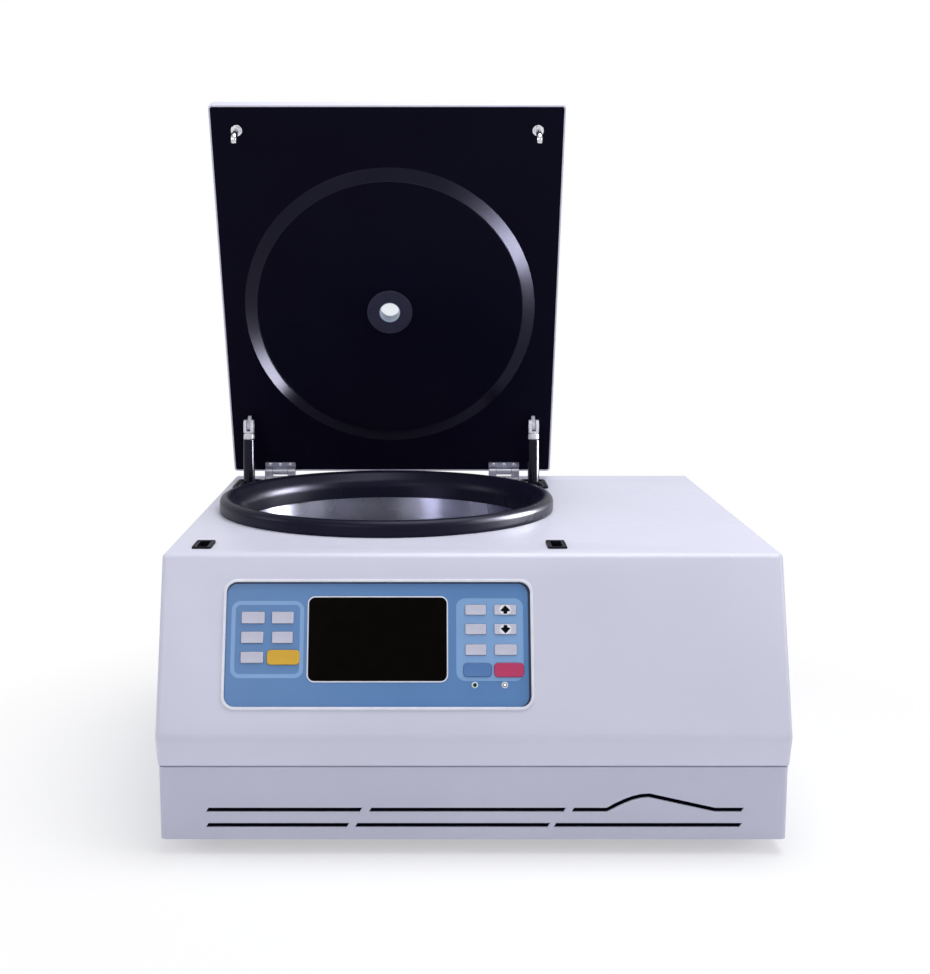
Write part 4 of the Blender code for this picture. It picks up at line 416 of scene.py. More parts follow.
def swept(path, radius, sides=24):
    """A round bar along a path, with flat ends."""
    path = [Vector(p) for p in path]
    shape = bmesh.new()
    rings = []
    side = (path[1] - path[0]).normalized().orthogonal().normalized()
    for i, point in enumerate(path):
        run = (path[min(i + 1, len(path) - 1)] - path[max(i - 1, 0)]).normalized()
        side = (side - run * side.dot(run)).normalized()
        up = run.cross(side)
        turns = [2 * pi * k / sides for k in range(sides)]
        spokes = [(side * cos(t) + up * sin(t)) * radius for t in turns]
        rings.append([shape.verts.new(point + spoke) for spoke in spokes])
    for ring, after in zip(rings, rings[1:]):
        for k in range(sides):
            m = (k + 1) % sides
            shape.faces.new((ring[k], ring[m], after[m], after[k]))
    shape.faces.new(rings[0])
    shape.faces.new(rings[-1][::-1])
    return shape


def joined(*shapes):
    """Several separate shells in one mesh."""
    whole = bmesh.new()
    for shape in shapes:
        holder = bpy.data.meshes.new("holder")
        bmesh.ops.recalc_face_normals(shape, faces=shape.faces)
        shape.to_mesh(holder)
        shape.free()
        whole.from_mesh(holder)
        bpy.data.meshes.remove(holder)
    return whole


def put(name, data):
    thing = bpy.data.objects.new(name, data)
    bpy.context.scene.collection.objects.link(thing)
    return thing


def to_object(name, shape, place):
    bmesh.ops.recalc_face_normals(shape, faces=shape.faces)
    mesh = bpy.data.meshes.new(name)
    shape.to_mesh(mesh)
    shape.free()
    thing = put(name, mesh)
    thing.matrix_world = place
    return thing


def shift(x=0, y=0, z=0):
    return Matrix.Translation((x, y, z))


def spin(angle, axis):
    return Matrix.Rotation(angle, 4, axis)


def cut(shape, place=None):
    return shape, place or Matrix(), "DIFFERENCE"


def weld(shape, place=None):
    return shape, place or Matrix(), "UNION"


def carved(thing, steps):
    """Runs cuts and welds on a new mesh, each with its place in the thing."""
    for shape, place, operation in steps:
        helper = to_object("helper", shape, thing.matrix_world @ place)
        step = thing.modifiers.new("step", "BOOLEAN")
        step.operation = operation
        step.object = helper
        step.solver = "EXACT"
        bpy.context.view_layer.update()
        whole = bpy.data.meshes.new_from_object(thing.evaluated_get(bpy.context.evaluated_depsgraph_get()))
        old = thing.data
        thing.modifiers.clear()
        thing.data = whole
        bpy.data.meshes.remove(old)
        bpy.data.objects.remove(helper, do_unlink=True)


def piece(name, shape, finish, body, place=None, cuts=(), edge=0.0, node=None, sharp=35):
    """One visible piece on a body, with its finish as its one material."""
    thing = to_object(name, shape, place or Matrix())
    carved(thing, cuts)
    mesh = thing.data
    mesh.shade_smooth()
    mesh.set_sharp_from_angle(angle=radians(sharp))
    mesh.materials.clear()
    mesh.materials.append(materials[finish])
    if edge:
        round_over = thing.modifiers.new("edges", "BEVEL")
        round_over.width = edge
        round_over.segments = 3
        round_over.limit_method = "ANGLE"
        round_over.angle_limit = radians(40)
    weigh = thing.modifiers.new("normals", "WEIGHTED_NORMAL")
    weigh.keep_sharp = True
    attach(thing, body)
    if node:
        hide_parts(node)


def smoothing_group():
    """Geometry nodes that weld an imported mesh and shade its shallow edges smooth."""
    group = bpy.data.node_groups.new("smooth_facets", "GeometryNodeTree")
    group.interface.new_socket("Geometry", in_out="INPUT", socket_type="NodeSocketGeometry")
    group.interface.new_socket("Geometry", in_out="OUTPUT", socket_type="NodeSocketGeometry")
    new = group.nodes.new
    start, end = new("NodeGroupInput"), new("NodeGroupOutput")
    forget = new("GeometryNodeRemoveAttribute")
    forget.inputs["Name"].default_value = "custom_normal"
    weld = new("GeometryNodeMergeByDistance")
    weld.inputs["Distance"].default_value = 0.00001
    angle = new("GeometryNodeInputMeshEdgeAngle")
    test = new("FunctionNodeCompare")
    test.operation = "LESS_THAN"
    test.inputs["B"].default_value = radians(34)
    faces = new("GeometryNodeSetShadeSmooth")
    edges = new("GeometryNodeSetShadeSmooth")
    edges.domain = "EDGE"
    link = group.links.new
    link(start.outputs[0], forget.inputs[0])
    link(forget.outputs[0], weld.inputs[0])
    link(weld.outputs[0], faces.inputs[0])
    link(faces.outputs[0], edges.inputs[0])
    link(angle.outputs["Unsigned Angle"], test.inputs["A"])
    link(test.outputs["Result"], edges.inputs["Shade Smooth"])
    link(edges.outputs[0], end.inputs[0])
    return group


# CAD nodes that stay: the slots whose finish has another name

SLOT_FINISH = {
    "casing_paint": "casing",
    "tray_paint": "tray",
    "panel_blue": "film_blue",
    "window_black": "screen",
    "rubber": "foot_rubber",
    "black_steel": "black_paint",
}


def dress_nodes():
    slots = {row["node"]: row["material_slot"] for row in frame["record"]["subparts"]}
    group = smoothing_group()
    for name, thing in nodes.items():
        finish = SLOT_FINISH.get(slots[name], slots[name])
        for slot in thing.material_slots:
            slot.material = materials[finish]
        step = thing.modifiers.new("smooth_facets", "NODES")
        step.node_group = group


# Chamber

BOWL_RADIUS = 0.1985
BOWL_WALL = 0.002
BOWL_DEPTH = 0.17
BOWL_CORNER = 0.025
BOWL_NECK = 0.022
BOWL_FLANGE = 0.215
BOWL_LIP = 0.0015
BOWL_FLOOR = DECK_Z - BOWL_DEPTH
GASKET_RISE = 0.02
GASKET_SKIRT = 0.018
GASKET_BORE = 0.1957
GASKET_NECK = 0.2032
GASKET_FOOT = 0.2214
GASKET_FLANK = 0.2223
GASKET_CREST = 0.2135
CREST_ROUND = 0.0088
THROAT_RISE = 0.0035
FLANK_RISE = 0.004


def build_chamber():
    crest = arc((GASKET_CREST, DECK_Z + GASKET_RISE - CREST_ROUND), CREST_ROUND, 150, 0, 16)
    lip = BOWL_RADIUS - FIT
    groove = BOWL_RADIUS + BOWL_WALL + FIT
    rim = DECK_Z + BOWL_LIP
    gasket = [
        (lip, DECK_Z - GASKET_SKIRT), (GASKET_BORE, DECK_Z - GASKET_SKIRT),
        (GASKET_BORE, DECK_Z + THROAT_RISE), *crest, (GASKET_FLANK, DECK_Z + FLANK_RISE),
        (GASKET_FOOT, DECK_Z + FIT), (GASKET_NECK, DECK_Z + FIT), (GASKET_NECK, DECK_Z - SHEET),
        (groove, DECK_Z - SHEET), (groove, rim + FIT), (lip, rim + FIT),
    ]
    soft = {1: 0.0008, 2: 0.06, 3 + len(crest): 0.004}
    piece(
        "gasket_collar", turned(softened(gasket, soft, 6), 192), "rubber", "cabinet", CHAMBER,
        node="chamber_gasket",
    )

    corner = (BOWL_RADIUS - BOWL_CORNER, BOWL_FLOOR + BOWL_CORNER)
    outside = BOWL_RADIUS + BOWL_WALL
    under = DECK_Z - UNDER_SHEET
    bowl = [
        (BOWL_RADIUS, rim), *arc(corner, BOWL_CORNER, 0, -90, 12), (BOWL_NECK, BOWL_FLOOR),
        (BOWL_NECK, BOWL_FLOOR - BOWL_WALL), *arc(corner, BOWL_CORNER + BOWL_WALL, -90, 0, 12),
        (outside, under - BOWL_WALL), (BOWL_FLANGE, under - BOWL_WALL), (BOWL_FLANGE, under),
        (outside, under), (outside, rim),
    ]
    piece(
        "bowl_shell", turned(bowl, 160), "bowl_steel", "cabinet", CHAMBER,
        node="chamber_bowl",
    )


# Rotor

ROTOR_LIFT = 0.012
ROTOR_HEIGHT = 0.1
ROTOR_RADIUS = 0.16
ROTOR_FOOT = 0.1
ROTOR_CROWN = 0.128
BELT_LOW = 0.034
BELT_HIGH = 0.046
DISH_RADIUS = 0.12
DISH_DEPTH = 0.008
BOSS_RADIUS = 0.032
BOSS_HEIGHT = 0.096
SHAFT_BORE = 0.0123
TIP_BORE = 0.0083
POCKETS = 6
POCKET_RADIUS = 0.031
POCKET_CIRCLE = 0.098
POCKET_RISE = 0.055
POCKET_REACH = (-0.04, 0.1)
POCKET_LEAN = radians(25)
COVER_GAP = 0.0006
COVER_WALL = 0.004
COVER_RIM = 0.0062
COVER_BEND = 0.06
COVER_BEND_RISE = 0.0062
COVER_CROWN = 0.0105
COVER_BORE = 0.0203
KNOB_NECK = 0.02
KNOB_RADIUS = 0.026
KNOB_HEIGHT = 0.016
KNOB_BEVEL = 0.0025
STUD_RADIUS = 0.0053
STUD_DEPTH = 0.016
DIMPLE_RADIUS = 0.009
DIMPLE_FLOOR = 0.0075
DIMPLE_DEPTH = 0.0012
GRIPS = 6
GRIP_RADIUS = 0.006
GRIP_CIRCLE = 0.0295
GRIP_START = 0.001


def build_rotor():
    low = BOWL_FLOOR + ROTOR_LIFT
    top = low + ROTOR_HEIGHT
    dish = top - DISH_DEPTH
    boss = low + BOSS_HEIGHT
    body = [
        (SHAFT_BORE, low), (ROTOR_FOOT, low), (ROTOR_RADIUS, low + BELT_LOW),
        (ROTOR_RADIUS, low + BELT_HIGH), (ROTOR_CROWN, top), (DISH_RADIUS, top),
        (DISH_RADIUS, dish), (BOSS_RADIUS, dish), (BOSS_RADIUS, boss), (TIP_BORE, boss),
    ]
    round_at = {1: 0.01, 2: 0.01, 3: 0.008, 4: 0.002, 5: 0.001, 6: 0.0006, 7: 0.002}
    pockets = []
    for i in range(POCKETS):
        turn = spin(2 * pi * i / POCKETS, "Z")
        place = turn @ shift(POCKET_CIRCLE, 0, low + POCKET_RISE) @ spin(-POCKET_LEAN, "Y")
        pockets.append(cut(rod(POCKET_RADIUS, *POCKET_REACH, 48, edge=0.004), place))
    piece(
        "rotor_body", turned(softened(body, round_at, 5), 128), "rotor_metal", "drive", CHAMBER,
        cuts=pockets, edge=0.0006, node="rotor",
    )

    rim = DISH_RADIUS - COVER_GAP
    base = dish + FIT
    high = base + COVER_RIM
    crown = high + COVER_CROWN
    cover = [
        (rim - COVER_WALL, base), (rim, base), (rim, high),
        (COVER_BEND, high + COVER_BEND_RISE), (COVER_BORE, crown),
        (COVER_BORE, crown - COVER_WALL), (COVER_BEND, high + COVER_BEND_RISE - COVER_WALL),
        (rim - COVER_WALL, high - COVER_WALL),
    ]
    piece(
        "rotor_cover", turned(softened(cover, {2: 0.002, 3: 0.03, 6: 0.03, 1: 0.0006}, 5), 128),
        "rotor_metal", "drive", CHAMBER, node="rotor_lid",
    )

    hub = boss + FIT
    shoulder = crown + FIT
    knob_top = shoulder + KNOB_HEIGHT
    knob = [
        (STUD_RADIUS, hub), (KNOB_NECK, hub), (KNOB_NECK, shoulder), (KNOB_RADIUS, shoulder),
        (KNOB_RADIUS, knob_top - KNOB_BEVEL), (KNOB_RADIUS - KNOB_BEVEL, knob_top),
        (DIMPLE_RADIUS, knob_top), (DIMPLE_FLOOR, knob_top - DIMPLE_DEPTH),
        (0, knob_top - DIMPLE_DEPTH), (0, hub + STUD_DEPTH), (STUD_RADIUS, hub + STUD_DEPTH),
    ]
    grips = []
    for i in range(GRIPS):
        a = 2 * pi * (i + 0.5) / GRIPS
        place = shift(GRIP_CIRCLE * cos(a), GRIP_CIRCLE * sin(a))
        grips.append(cut(rod(GRIP_RADIUS, shoulder - GRIP_START, knob_top + OVERRUN, 24), place))
    piece(
        "rotor_handwheel", turned(softened(knob, {3: 0.0008, 4: 0.0015, 5: 0.0015}, 4), 96),
        "black_plastic", "drive", CHAMBER, cuts=grips, edge=0.0004,
        node="rotor_knob",
    )


# Control panel: a box on the face is (left, right, low, high), and depths run into the face

PANEL = (-0.2756, 0.0637, 0.0348, 0.1737)
SCREEN = (-0.1835, -0.0295, 0.0633, 0.1565)
LEFT_GROUP = (-0.2696, -0.1888, 0.0667, 0.1525)
RIGHT_GROUP = (-0.0191, 0.0555, 0.0636, 0.1555)
PANEL_CORNER = 0.012
SCREEN_CORNER = 0.007
GROUP_CORNER = 0.01
RIM_WIDTH = 0.0031
RIM_PROUD = 0.0014
RIM_DEPTH = 0.0018
RIM_OVERLAP = 0.0001
# The strip's widths on the left, right, bottom and top sides, widest on the right and top where the
# painted shade of the recess falls.
RECESS_SHADE_WIDTHS = (0.0002, 0.0026, 0.0002, 0.0017)
RECESS_SHADE_DEPTH = 0.0017
FILM = 0.0023
PRINT_DEPTH = 0.00215
GROUP_LINE = 0.0045
SCREEN_LINE = 0.0013
PANE_DEPTHS = (0.002, 0.008)
KEY_TOP = 0.0008
KEY_BACK = 0.0068
KEY_GAP = 0.0004
KEY_SKIRT = 0.0008
KEY_SKIRT_DEPTH = 0.0016
GREY_KEYS = {
    "key_left_1": (-0.2583, -0.2325, 0.1273, 0.1403),
    "key_left_2": (-0.2245, -0.2002, 0.1273, 0.1403),
    "key_left_3": (-0.2583, -0.2335, 0.1054, 0.1180),
    "key_left_4": (-0.2239, -0.2008, 0.1054, 0.1180),
    "key_left_5": (-0.2583, -0.2332, 0.0834, 0.0957),
}
RIGHT_ROWS = ((0.1369, 0.1482), (0.1151, 0.1266), (0.0921, 0.1039))
RIGHT_COLUMNS = ((-0.0089, 0.0143), (0.0234, 0.0481))
for i, row in enumerate(RIGHT_ROWS):
    for j, column in enumerate(RIGHT_COLUMNS):
        GREY_KEYS[f"key_right_{2 * i + j + 1}"] = (*column, *row)
ROUND_KEYS = {
    "key_yellow": (-0.2291, -0.1930, 0.0815, 0.0977),
    "key_blue": (-0.0110, 0.0199, 0.0683, 0.0829),
    "key_red": (0.0230, 0.0556, 0.0680, 0.0833),
}
KEY_CORNERS = ((GREY_KEYS, 0.0014), (ROUND_KEYS, 0.004))
ARROW_KEYS = (("key_right_2", 1), ("key_right_4", -1))
ARROW = (
    (-0.0056, -0.001), (-0.002, -0.0022), (-0.002, -0.0046),
    (0.002, -0.0046), (0.002, -0.0022), (0.0056, -0.001), (0, 0.005),
)
ARROW_SKIN = (0.00022, 0.00005)
HALO = (0.0066, 0.0056)
HALO_CORNER = 0.0054
HALO_SKIN = 0.0001
LAMPS = ((0.0013, "lamp_off"), (0.0344, "lamp_lit"))
LAMP_Z = 0.0591
LENS = (
    (0, 0.0004), (0.001, 0.00055), (0.0018, 0.0011),
    (0.0021, 0.002), (0.0021, 0.006), (0, 0.006),
)
LAMP_RING = ((0.0022, 0.0013), (0.0034, 0.0016), (0.0036, FILM), (0.0022, FILM))


def grown(box, grow, corner, steps=8):
    return rounded_box(box[0] - grow, box[1] + grow, box[2] - grow, box[3] + grow, corner + grow, steps)


def middle(box):
    return (box[0] + box[1]) / 2, (box[2] + box[3]) / 2


def on_face(x, z):
    return FACE @ shift(x, 0, z)


def key_holes(group):
    """Cutters for each key that stands in a box on the face."""
    holes = []
    for table, corner in KEY_CORNERS:
        for box in table.values():
            x, z = middle(box)
            if group[0] < x < group[1] and group[2] < z < group[3]:
                holes.append(cut(prism(grown(box, KEY_GAP, corner, 4), 0, OVERRUN, "Y")))
    return holes


def build_film():
    outside = grown(PANEL, RIM_WIDTH, PANEL_CORNER, 14)
    opening = grown(PANEL, -RIM_OVERLAP, PANEL_CORNER, 14)
    rim = ring_plate(outside, opening, -RIM_PROUD, RIM_DEPTH, "Y")
    # The rim's paler finish is a painted highlight on the casing's lip.
    piece("panel_rim", rim, "rim_painted_highlight", "cabinet", FACE, edge=0.0006)
    # A dark strip inside the rim, wide along the top and the right: painted shade in the panel's recess.
    inset = [edge + sign * width for edge, sign, width in zip(PANEL, (1, -1, 1, -1), RECESS_SHADE_WIDTHS)]
    recess_shade_strip = ring_plate(opening, grown(inset, 0, PANEL_CORNER, 14), RECESS_SHADE_DEPTH, FILM, "Y")
    piece("panel_recess_shade", recess_shade_strip, "recess_shade_blue", "cabinet", FACE)

    line = grown(SCREEN, SCREEN_LINE, SCREEN_CORNER, 10)
    screen_frame = ring_plate(line, grown(SCREEN, 0, SCREEN_CORNER, 10), RIM_DEPTH, FILM, "Y")
    piece("screen_frame", screen_frame, "halo_white", "cabinet", FACE, edge=0.00015)
    pane = prism(grown(SCREEN, -FIT, SCREEN_CORNER, 10), *PANE_DEPTHS, "Y")
    piece("screen_glass", pane, "screen", "cabinet", FACE, edge=0.0003,
          node="display_window")

    line = grown(LEFT_GROUP, 0, GROUP_CORNER, 10)
    outline = ring_plate(line, grown(LEFT_GROUP, -GROUP_LINE, GROUP_CORNER, 10), PRINT_DEPTH, FILM, "Y")
    piece("group_outline_left", outline, "film_light_blue", "cabinet", FACE)
    filled = prism(grown(RIGHT_GROUP, 0, GROUP_CORNER, 10), PRINT_DEPTH, FILM, "Y")
    piece("group_plate_right", filled, "film_light_blue", "cabinet", FACE,
          cuts=key_holes(RIGHT_GROUP))


def build_keys():
    for table, corner in KEY_CORNERS:
        for name, box in table.items():
            finish = "key_grey" if table is GREY_KEYS else name
            x, z = middle(box)
            local = (box[0] - x, box[1] - x, box[2] - z, box[3] - z)
            cap = prism(grown(local, 0, corner, 8), KEY_TOP, KEY_BACK, "Y")
            flange = prism(grown(local, KEY_SKIRT, corner, 8), KEY_BACK - KEY_SKIRT_DEPTH, KEY_BACK, "Y")
            piece(f"cap_{name[4:]}", joined(cap, flange), finish, name, on_face(x, z), edge=0.0005,
                  node=name)

    for name, up in ARROW_KEYS:
        place = on_face(*middle(GREY_KEYS[name]))
        halo = prism(pad(HALO, HALO_CORNER), KEY_TOP - HALO_SKIN, KEY_TOP, "Y")
        piece(f"halo_{name[4:]}", halo, "halo_white", name, place)
        outline = [(x, z * up) for x, z in ARROW][::up]
        arrow = prism(outline, KEY_TOP - ARROW_SKIN[0], KEY_TOP - ARROW_SKIN[1], "Y")
        piece(f"arrow_{name[4:]}", arrow, "mark_black", name, place)


def build_indicators():
    for i, (x, finish) in enumerate(LAMPS):
        place = on_face(x, LAMP_Z)
        lens = turned(softened(LENS, {1: 0.001, 2: 0.001}, 4), 32, "Y")
        piece(f"lamp_lens_{i + 1}", lens, finish, "cabinet", place)
        ring = turned(softened(LAMP_RING, {0: 0.0003, 1: 0.0004}, 3), 40, "Y")
        piece(f"lamp_ring_{i + 1}", ring, "halo_white", "cabinet", place)


# Small fasteners

HEAD_SHARES = ((0, 0), (1, 0), (1, 0.45), (0.72, 0.9), (0, 1))
HEAD_ROUND_SHARES = (0.25, 0.5)
RECESS_SHARES = (0.55, 0.11, 0.35)


def add_screws(name, places, body, finish, radius=0.0035, height=0.0018):
    """Pan heads with a cross recess, each with its seat at z 0."""
    profile = [(radius * r, height * h) for r, h in HEAD_SHARES]
    rounds = {2: radius * HEAD_ROUND_SHARES[0], 3: radius * HEAD_ROUND_SHARES[1]}
    length, width, low = radius * RECESS_SHARES[0], radius * RECESS_SHARES[1], height * RECESS_SHARES[2]
    for i, place in enumerate(places):
        head = turned(softened(profile, rounds, 4), 28)
        cuts = []
        for turn in (0, pi / 2):
            cuts.append(cut(block((-length, -width, low), (length, width, height * 2)), spin(turn, "Z")))
        piece(f"{name}_{i + 1}", head, finish, body, place, cuts=cuts, sharp=40)


# Strut slots in the deck

STRUT_X = 0.212
SLOT_FRONT = 0.0918
SLOT_REAR = 0.0242
SLOT_HALF_WIDTH = 0.0128
BEZEL_WIDTH = 0.0057
BEZEL_HEIGHT = 0.0034


def build_bezels():
    front, rear = HINGE_Y - SLOT_FRONT, HINGE_Y - SLOT_REAR
    for side, sign in SIDES:
        left = CHAMBER_X + sign * STRUT_X - SLOT_HALF_WIDTH
        right = CHAMBER_X + sign * STRUT_X + SLOT_HALF_WIDTH
        inner = rounded_box(left, right, front, rear, 0.004)
        outer = rounded_box(
            left - BEZEL_WIDTH, right + BEZEL_WIDTH, front - BEZEL_WIDTH, rear + BEZEL_WIDTH, 0.008,
        )
        bezel = ring_plate(outer, inner, DECK_Z + FIT, DECK_Z + BEZEL_HEIGHT, "Z")
        piece(f"slot_bezel_{side}", bezel, "black_plastic", "cabinet", edge=0.0012)


# Latches: half sizes are (x, y), heights are above the deck

LATCH_X = 0.2039
LATCH_Y = 0.5237
CASE = (0.011, 0.0207)
CASE_RISE = 0.0019
CASE_DEPTH = 0.04
FLANGE = (0.015, 0.0247)
FLANGE_DEPTH = 0.003
WELL = (0.006, 0.0167)
WELL_DEPTH = 0.034
BOLT_HOUSING = ((-0.0075, 0.0187, -0.0164), (0.0075, 0.0527, -0.0023))
BOLT_CHANNEL = ((-0.0053, 0.0147, -0.0092), (0.0053, 0.0567, -0.0036))
LIP_OUTER = (0.0108, 0.0205)
LIP_INNER = (0.0096, 0.0193)
LIP_HEIGHTS = (0.0018, 0.0025)


def build_latches():
    for side, sign in SIDES:
        place = shift(CHAMBER_X + sign * LATCH_X, HINGE_Y - LATCH_Y, DECK_Z)
        case = prism(pad(CASE, 0.0025), -CASE_DEPTH, CASE_RISE, "Z")
        flange = prism(pad(FLANGE, 0.005, 6), -UNDER_SHEET - FLANGE_DEPTH, -UNDER_SHEET, "Z")
        well = prism(pad(WELL, 0.002, 6), -WELL_DEPTH, OVERRUN, "Z")
        cuts = [weld(flange), weld(block(*BOLT_HOUSING)), cut(well), cut(block(*BOLT_CHANNEL))]
        piece(f"latch_socket_{side}", case, "black_plastic", "cabinet", place, cuts=cuts, edge=0.0004,
              node=f"latch_case_{side}")
        lip = ring_plate(pad(LIP_OUTER, 0.0024), pad(LIP_INNER, 0.0018), *LIP_HEIGHTS, "Z")
        piece(f"latch_lip_{side}", lip, "black_plastic", "cabinet", place, edge=0.0002)


# Lid, closed and flat: the hinge's axis is at zero and the liner's face looks down

LID_UNDERSIDE = 0.0082
LID_THICKNESS = 0.022
LID_TOP = LID_UNDERSIDE + LID_THICKNESS
LID_HALF_WIDTH = 0.2405
LID_FRONT = -0.5504
LID_REAR = 0.0035
LINER_WALL = 0.003
LINER_BACK_GAP = 0.004
LINER_HOLE = 0.187
STUD_Y = -0.08
STUD_OFF = 0.017
LUG_SLOT = (0.0031, 0.0096)
DISC_Y = -0.2576
DISC_FACE = LID_UNDERSIDE - 0.006
DISC_RADIUS = 0.1893
DISC_HOLE = 0.0188
BEVEL = (
    (0.1895, DISC_FACE + 0.0003), (0.1915, DISC_FACE + 0.0005),
    (0.2085, LID_UNDERSIDE - 0.0001), (0.2085, LID_UNDERSIDE + 0.0015),
    (0.2055, LID_UNDERSIDE + 0.003), (0.1895, DISC_FACE + 0.003),
)
PORT_BORE = 0.015
PORT_FLANGE = 0.0325
PORT_SHEET = 0.003
PORT_TUBE = 0.0185
PANE_SEAT = 0.0166
PANE_SEAT_DEPTH = 0.008
PANE_THICKNESS = 0.004
SLEEVE = (0.014, 0.0149)
SLEEVE_SET_BACK = 0.0006
STRIKER_Y = -0.517
STRIKER_RADIUS = 0.004
STRIKER_REACH = 0.038
STRIKER_BEND = 0.0058
STRIKER_TIP = 0.0078
STRIKER_ROOT = 0.0012
STRIKER_STRAIGHT = 0.012
WASHER_RADIUS = 0.0078
WASHER_DEPTH = 0.0025


def build_liner():
    half = LID_HALF_WIDTH - SHEET - FIT
    front, rear = LID_FRONT + UNDER_SHEET, LID_REAR - UNDER_SHEET
    back = LID_TOP - SHEET - LINER_BACK_GAP
    inner = LID_UNDERSIDE + LINER_WALL
    low, high = LID_UNDERSIDE - OVERRUN, back + OVERRUN
    board = prism(rounded_box(-half, half, front, rear, 0.002, 4), LID_UNDERSIDE, back, "Z")
    wall = half - LINER_WALL
    cuts = [
        cut(block((-wall, front + LINER_WALL, inner), (wall, rear - LINER_WALL, high))),
        cut(rod(LINER_HOLE, low, high, 128), shift(0, DISC_Y)),
    ]
    for _, sign in SIDES:
        x = sign * STRUT_X
        near = (x - LUG_SLOT[0], STUD_Y - LUG_SLOT[1], low)
        cuts.append(cut(block(near, (x + LUG_SLOT[0], STUD_Y + LUG_SLOT[1], high))))
    piece("liner_board", board, "liner", "lid", LID, cuts=cuts, edge=0.0008,
          node="lid_liner", sharp=25)

    place = LID @ shift(0, DISC_Y)
    disc = section(DISC_HOLE, DISC_RADIUS, DISC_FACE, DISC_FACE + LINER_WALL)
    disc = turned(softened(disc, {0: 0.0006, 1: 0.001}, 4), 192)
    piece("liner_disc", disc, "liner", "lid", place, sharp=50)
    bevel = turned(softened(BEVEL, {0: 0.0006, 1: 0.006, 2: 0.0012}, 6), 192)
    piece("liner_bevel", bevel, "liner_gloss", "lid", place, sharp=50)


def build_port():
    place = LID @ shift(0, DISC_Y)
    seat = DISC_FACE - FIT
    rim = seat - PORT_SHEET
    ledge = LID_TOP - PANE_SEAT_DEPTH
    flange = [
        (PORT_BORE, rim), (PORT_FLANGE, rim), (PORT_FLANGE, seat), (PORT_TUBE, seat),
        (PORT_TUBE, LID_TOP), (PANE_SEAT, LID_TOP), (PANE_SEAT, ledge), (PORT_BORE, ledge),
    ]
    flange = turned(softened(flange, {0: 0.0008, 1: 0.0014, 5: 0.0004}, 4), 96)
    piece("port_ring", flange, "port_grey", "lid", place, node="port_flange")
    pane = rod(PANE_SEAT - FIT, ledge + FIT, ledge + FIT + PANE_THICKNESS, 64, edge=0.0005)
    piece("port_pane", pane, "glass", "lid", place, node="port_window")
    sleeve = section(*SLEEVE, rim + SLEEVE_SET_BACK, ledge)
    sleeve = turned(softened(sleeve, {0: 0.0003, 1: 0.0003}, 3), 64)
    piece("port_sleeve", sleeve, "sleeve_blue", "lid", place)


def build_strikers():
    low = STRIKER_RADIUS - STRIKER_REACH + FIT
    bend = arc((STRIKER_BEND, low + STRIKER_BEND), STRIKER_BEND, 180, 270, 10)
    path = [(0, 0, -STRIKER_ROOT), (0, 0, -STRIKER_STRAIGHT)]
    path += [(0, y, z) for y, z in bend]
    path.append((0, STRIKER_TIP, low))
    washer = section(0, WASHER_RADIUS, -WASHER_DEPTH, 0)
    for side, sign in SIDES:
        place = LID @ shift(sign * LATCH_X, STRIKER_Y, LID_UNDERSIDE - FIT)
        base = turned(softened(washer, {1: 0.001}, 4), 48)
        hook = weld(swept(path, STRIKER_RADIUS, 28))
        piece(f"striker_hook_{side}", base, "bright_steel", "lid", place, cuts=[hook], edge=0.0007,
              node=f"striker_{side}")


# Hinges

HINGE_X = 0.17
HINGE_HALF = 0.023
HINGE_RISE = 0.0123
HINGE_PLATE = (0.023, 0.015)
HINGE_SHEET = 0.003
HINGE_SCREWS = (-0.015, 0, 0.015)
BRACKET_SCREW_Y = -0.0105
LEAF_SCREW_Y = -0.0083
KNUCKLE_HALF = 0.011
KNUCKLE_RADIUS = 0.005
PIN_RADIUS = 0.003
PIN_SET_IN = 0.002
PIN_BORE = 0.0033
LEAF_FRONT = -0.012
LEAF_REAR = 0.003
LEAF_THICKNESS = 0.0022


def build_bracket(side, sign):
    half, inside = HINGE_HALF, KNUCKLE_HALF + FIT
    low = FIT - HINGE_RISE
    high = low + HINGE_SHEET
    foot = low + HINGE_SHEET / 2
    place = shift(CHAMBER_X + sign * HINGE_X, HINGE_Y, HINGE_Z)
    base = prism(pad(HINGE_PLATE, 0.003, 6), low, high, "Z")
    ear = [(-KNUCKLE_RADIUS, foot), (KNUCKLE_RADIUS, foot), *arc((0, 0), KNUCKLE_RADIUS, 0, 180, 16)]
    cuts = [weld(prism(ear, left, right, "X")) for left, right in ((-half, -inside), (inside, half))]
    cuts.append(weld(rod(PIN_RADIUS, PIN_SET_IN - half, half - PIN_SET_IN, 24, "X")))
    piece(f"hinge_base_{side}", base, "hinge_steel", "cabinet", place, cuts=cuts, edge=0.0005,
          node=f"hinge_bracket_{side}")
    spots = [place @ shift(x, BRACKET_SCREW_Y, high) for x in HINGE_SCREWS]
    add_screws(f"hinge_screw_{side}", spots, "cabinet", "bright_steel", 0.0026, 0.0015)


def build_leaf(side, sign):
    half, wide = HINGE_HALF, KNUCKLE_HALF
    top = LID_UNDERSIDE - FIT
    low = top - LEAF_THICKNESS
    place = LID @ shift(sign * HINGE_X)
    leaf = prism(rounded_box(-half, half, LEAF_FRONT, LEAF_REAR, 0.002, 6), low, top, "Z")
    web = block((-wide, -LEAF_REAR, 0), (wide, LEAF_REAR, top - LEAF_THICKNESS / 2))
    cuts = [
        weld(rod(KNUCKLE_RADIUS, -wide, wide, 40, "X")),
        weld(web),
        cut(rod(PIN_BORE, -half, half, 32, "X")),
    ]
    piece(f"hinge_wing_{side}", leaf, "hinge_steel", "lid", place, cuts=cuts, edge=0.0005,
          node=f"hinge_leaf_{side}")
    spots = [place @ shift(x, LEAF_SCREW_Y, low) @ spin(pi, "X") for x in HINGE_SCREWS]
    add_screws(f"leaf_screw_{side}", spots, "lid", "bright_steel", 0.003, 0.0016)


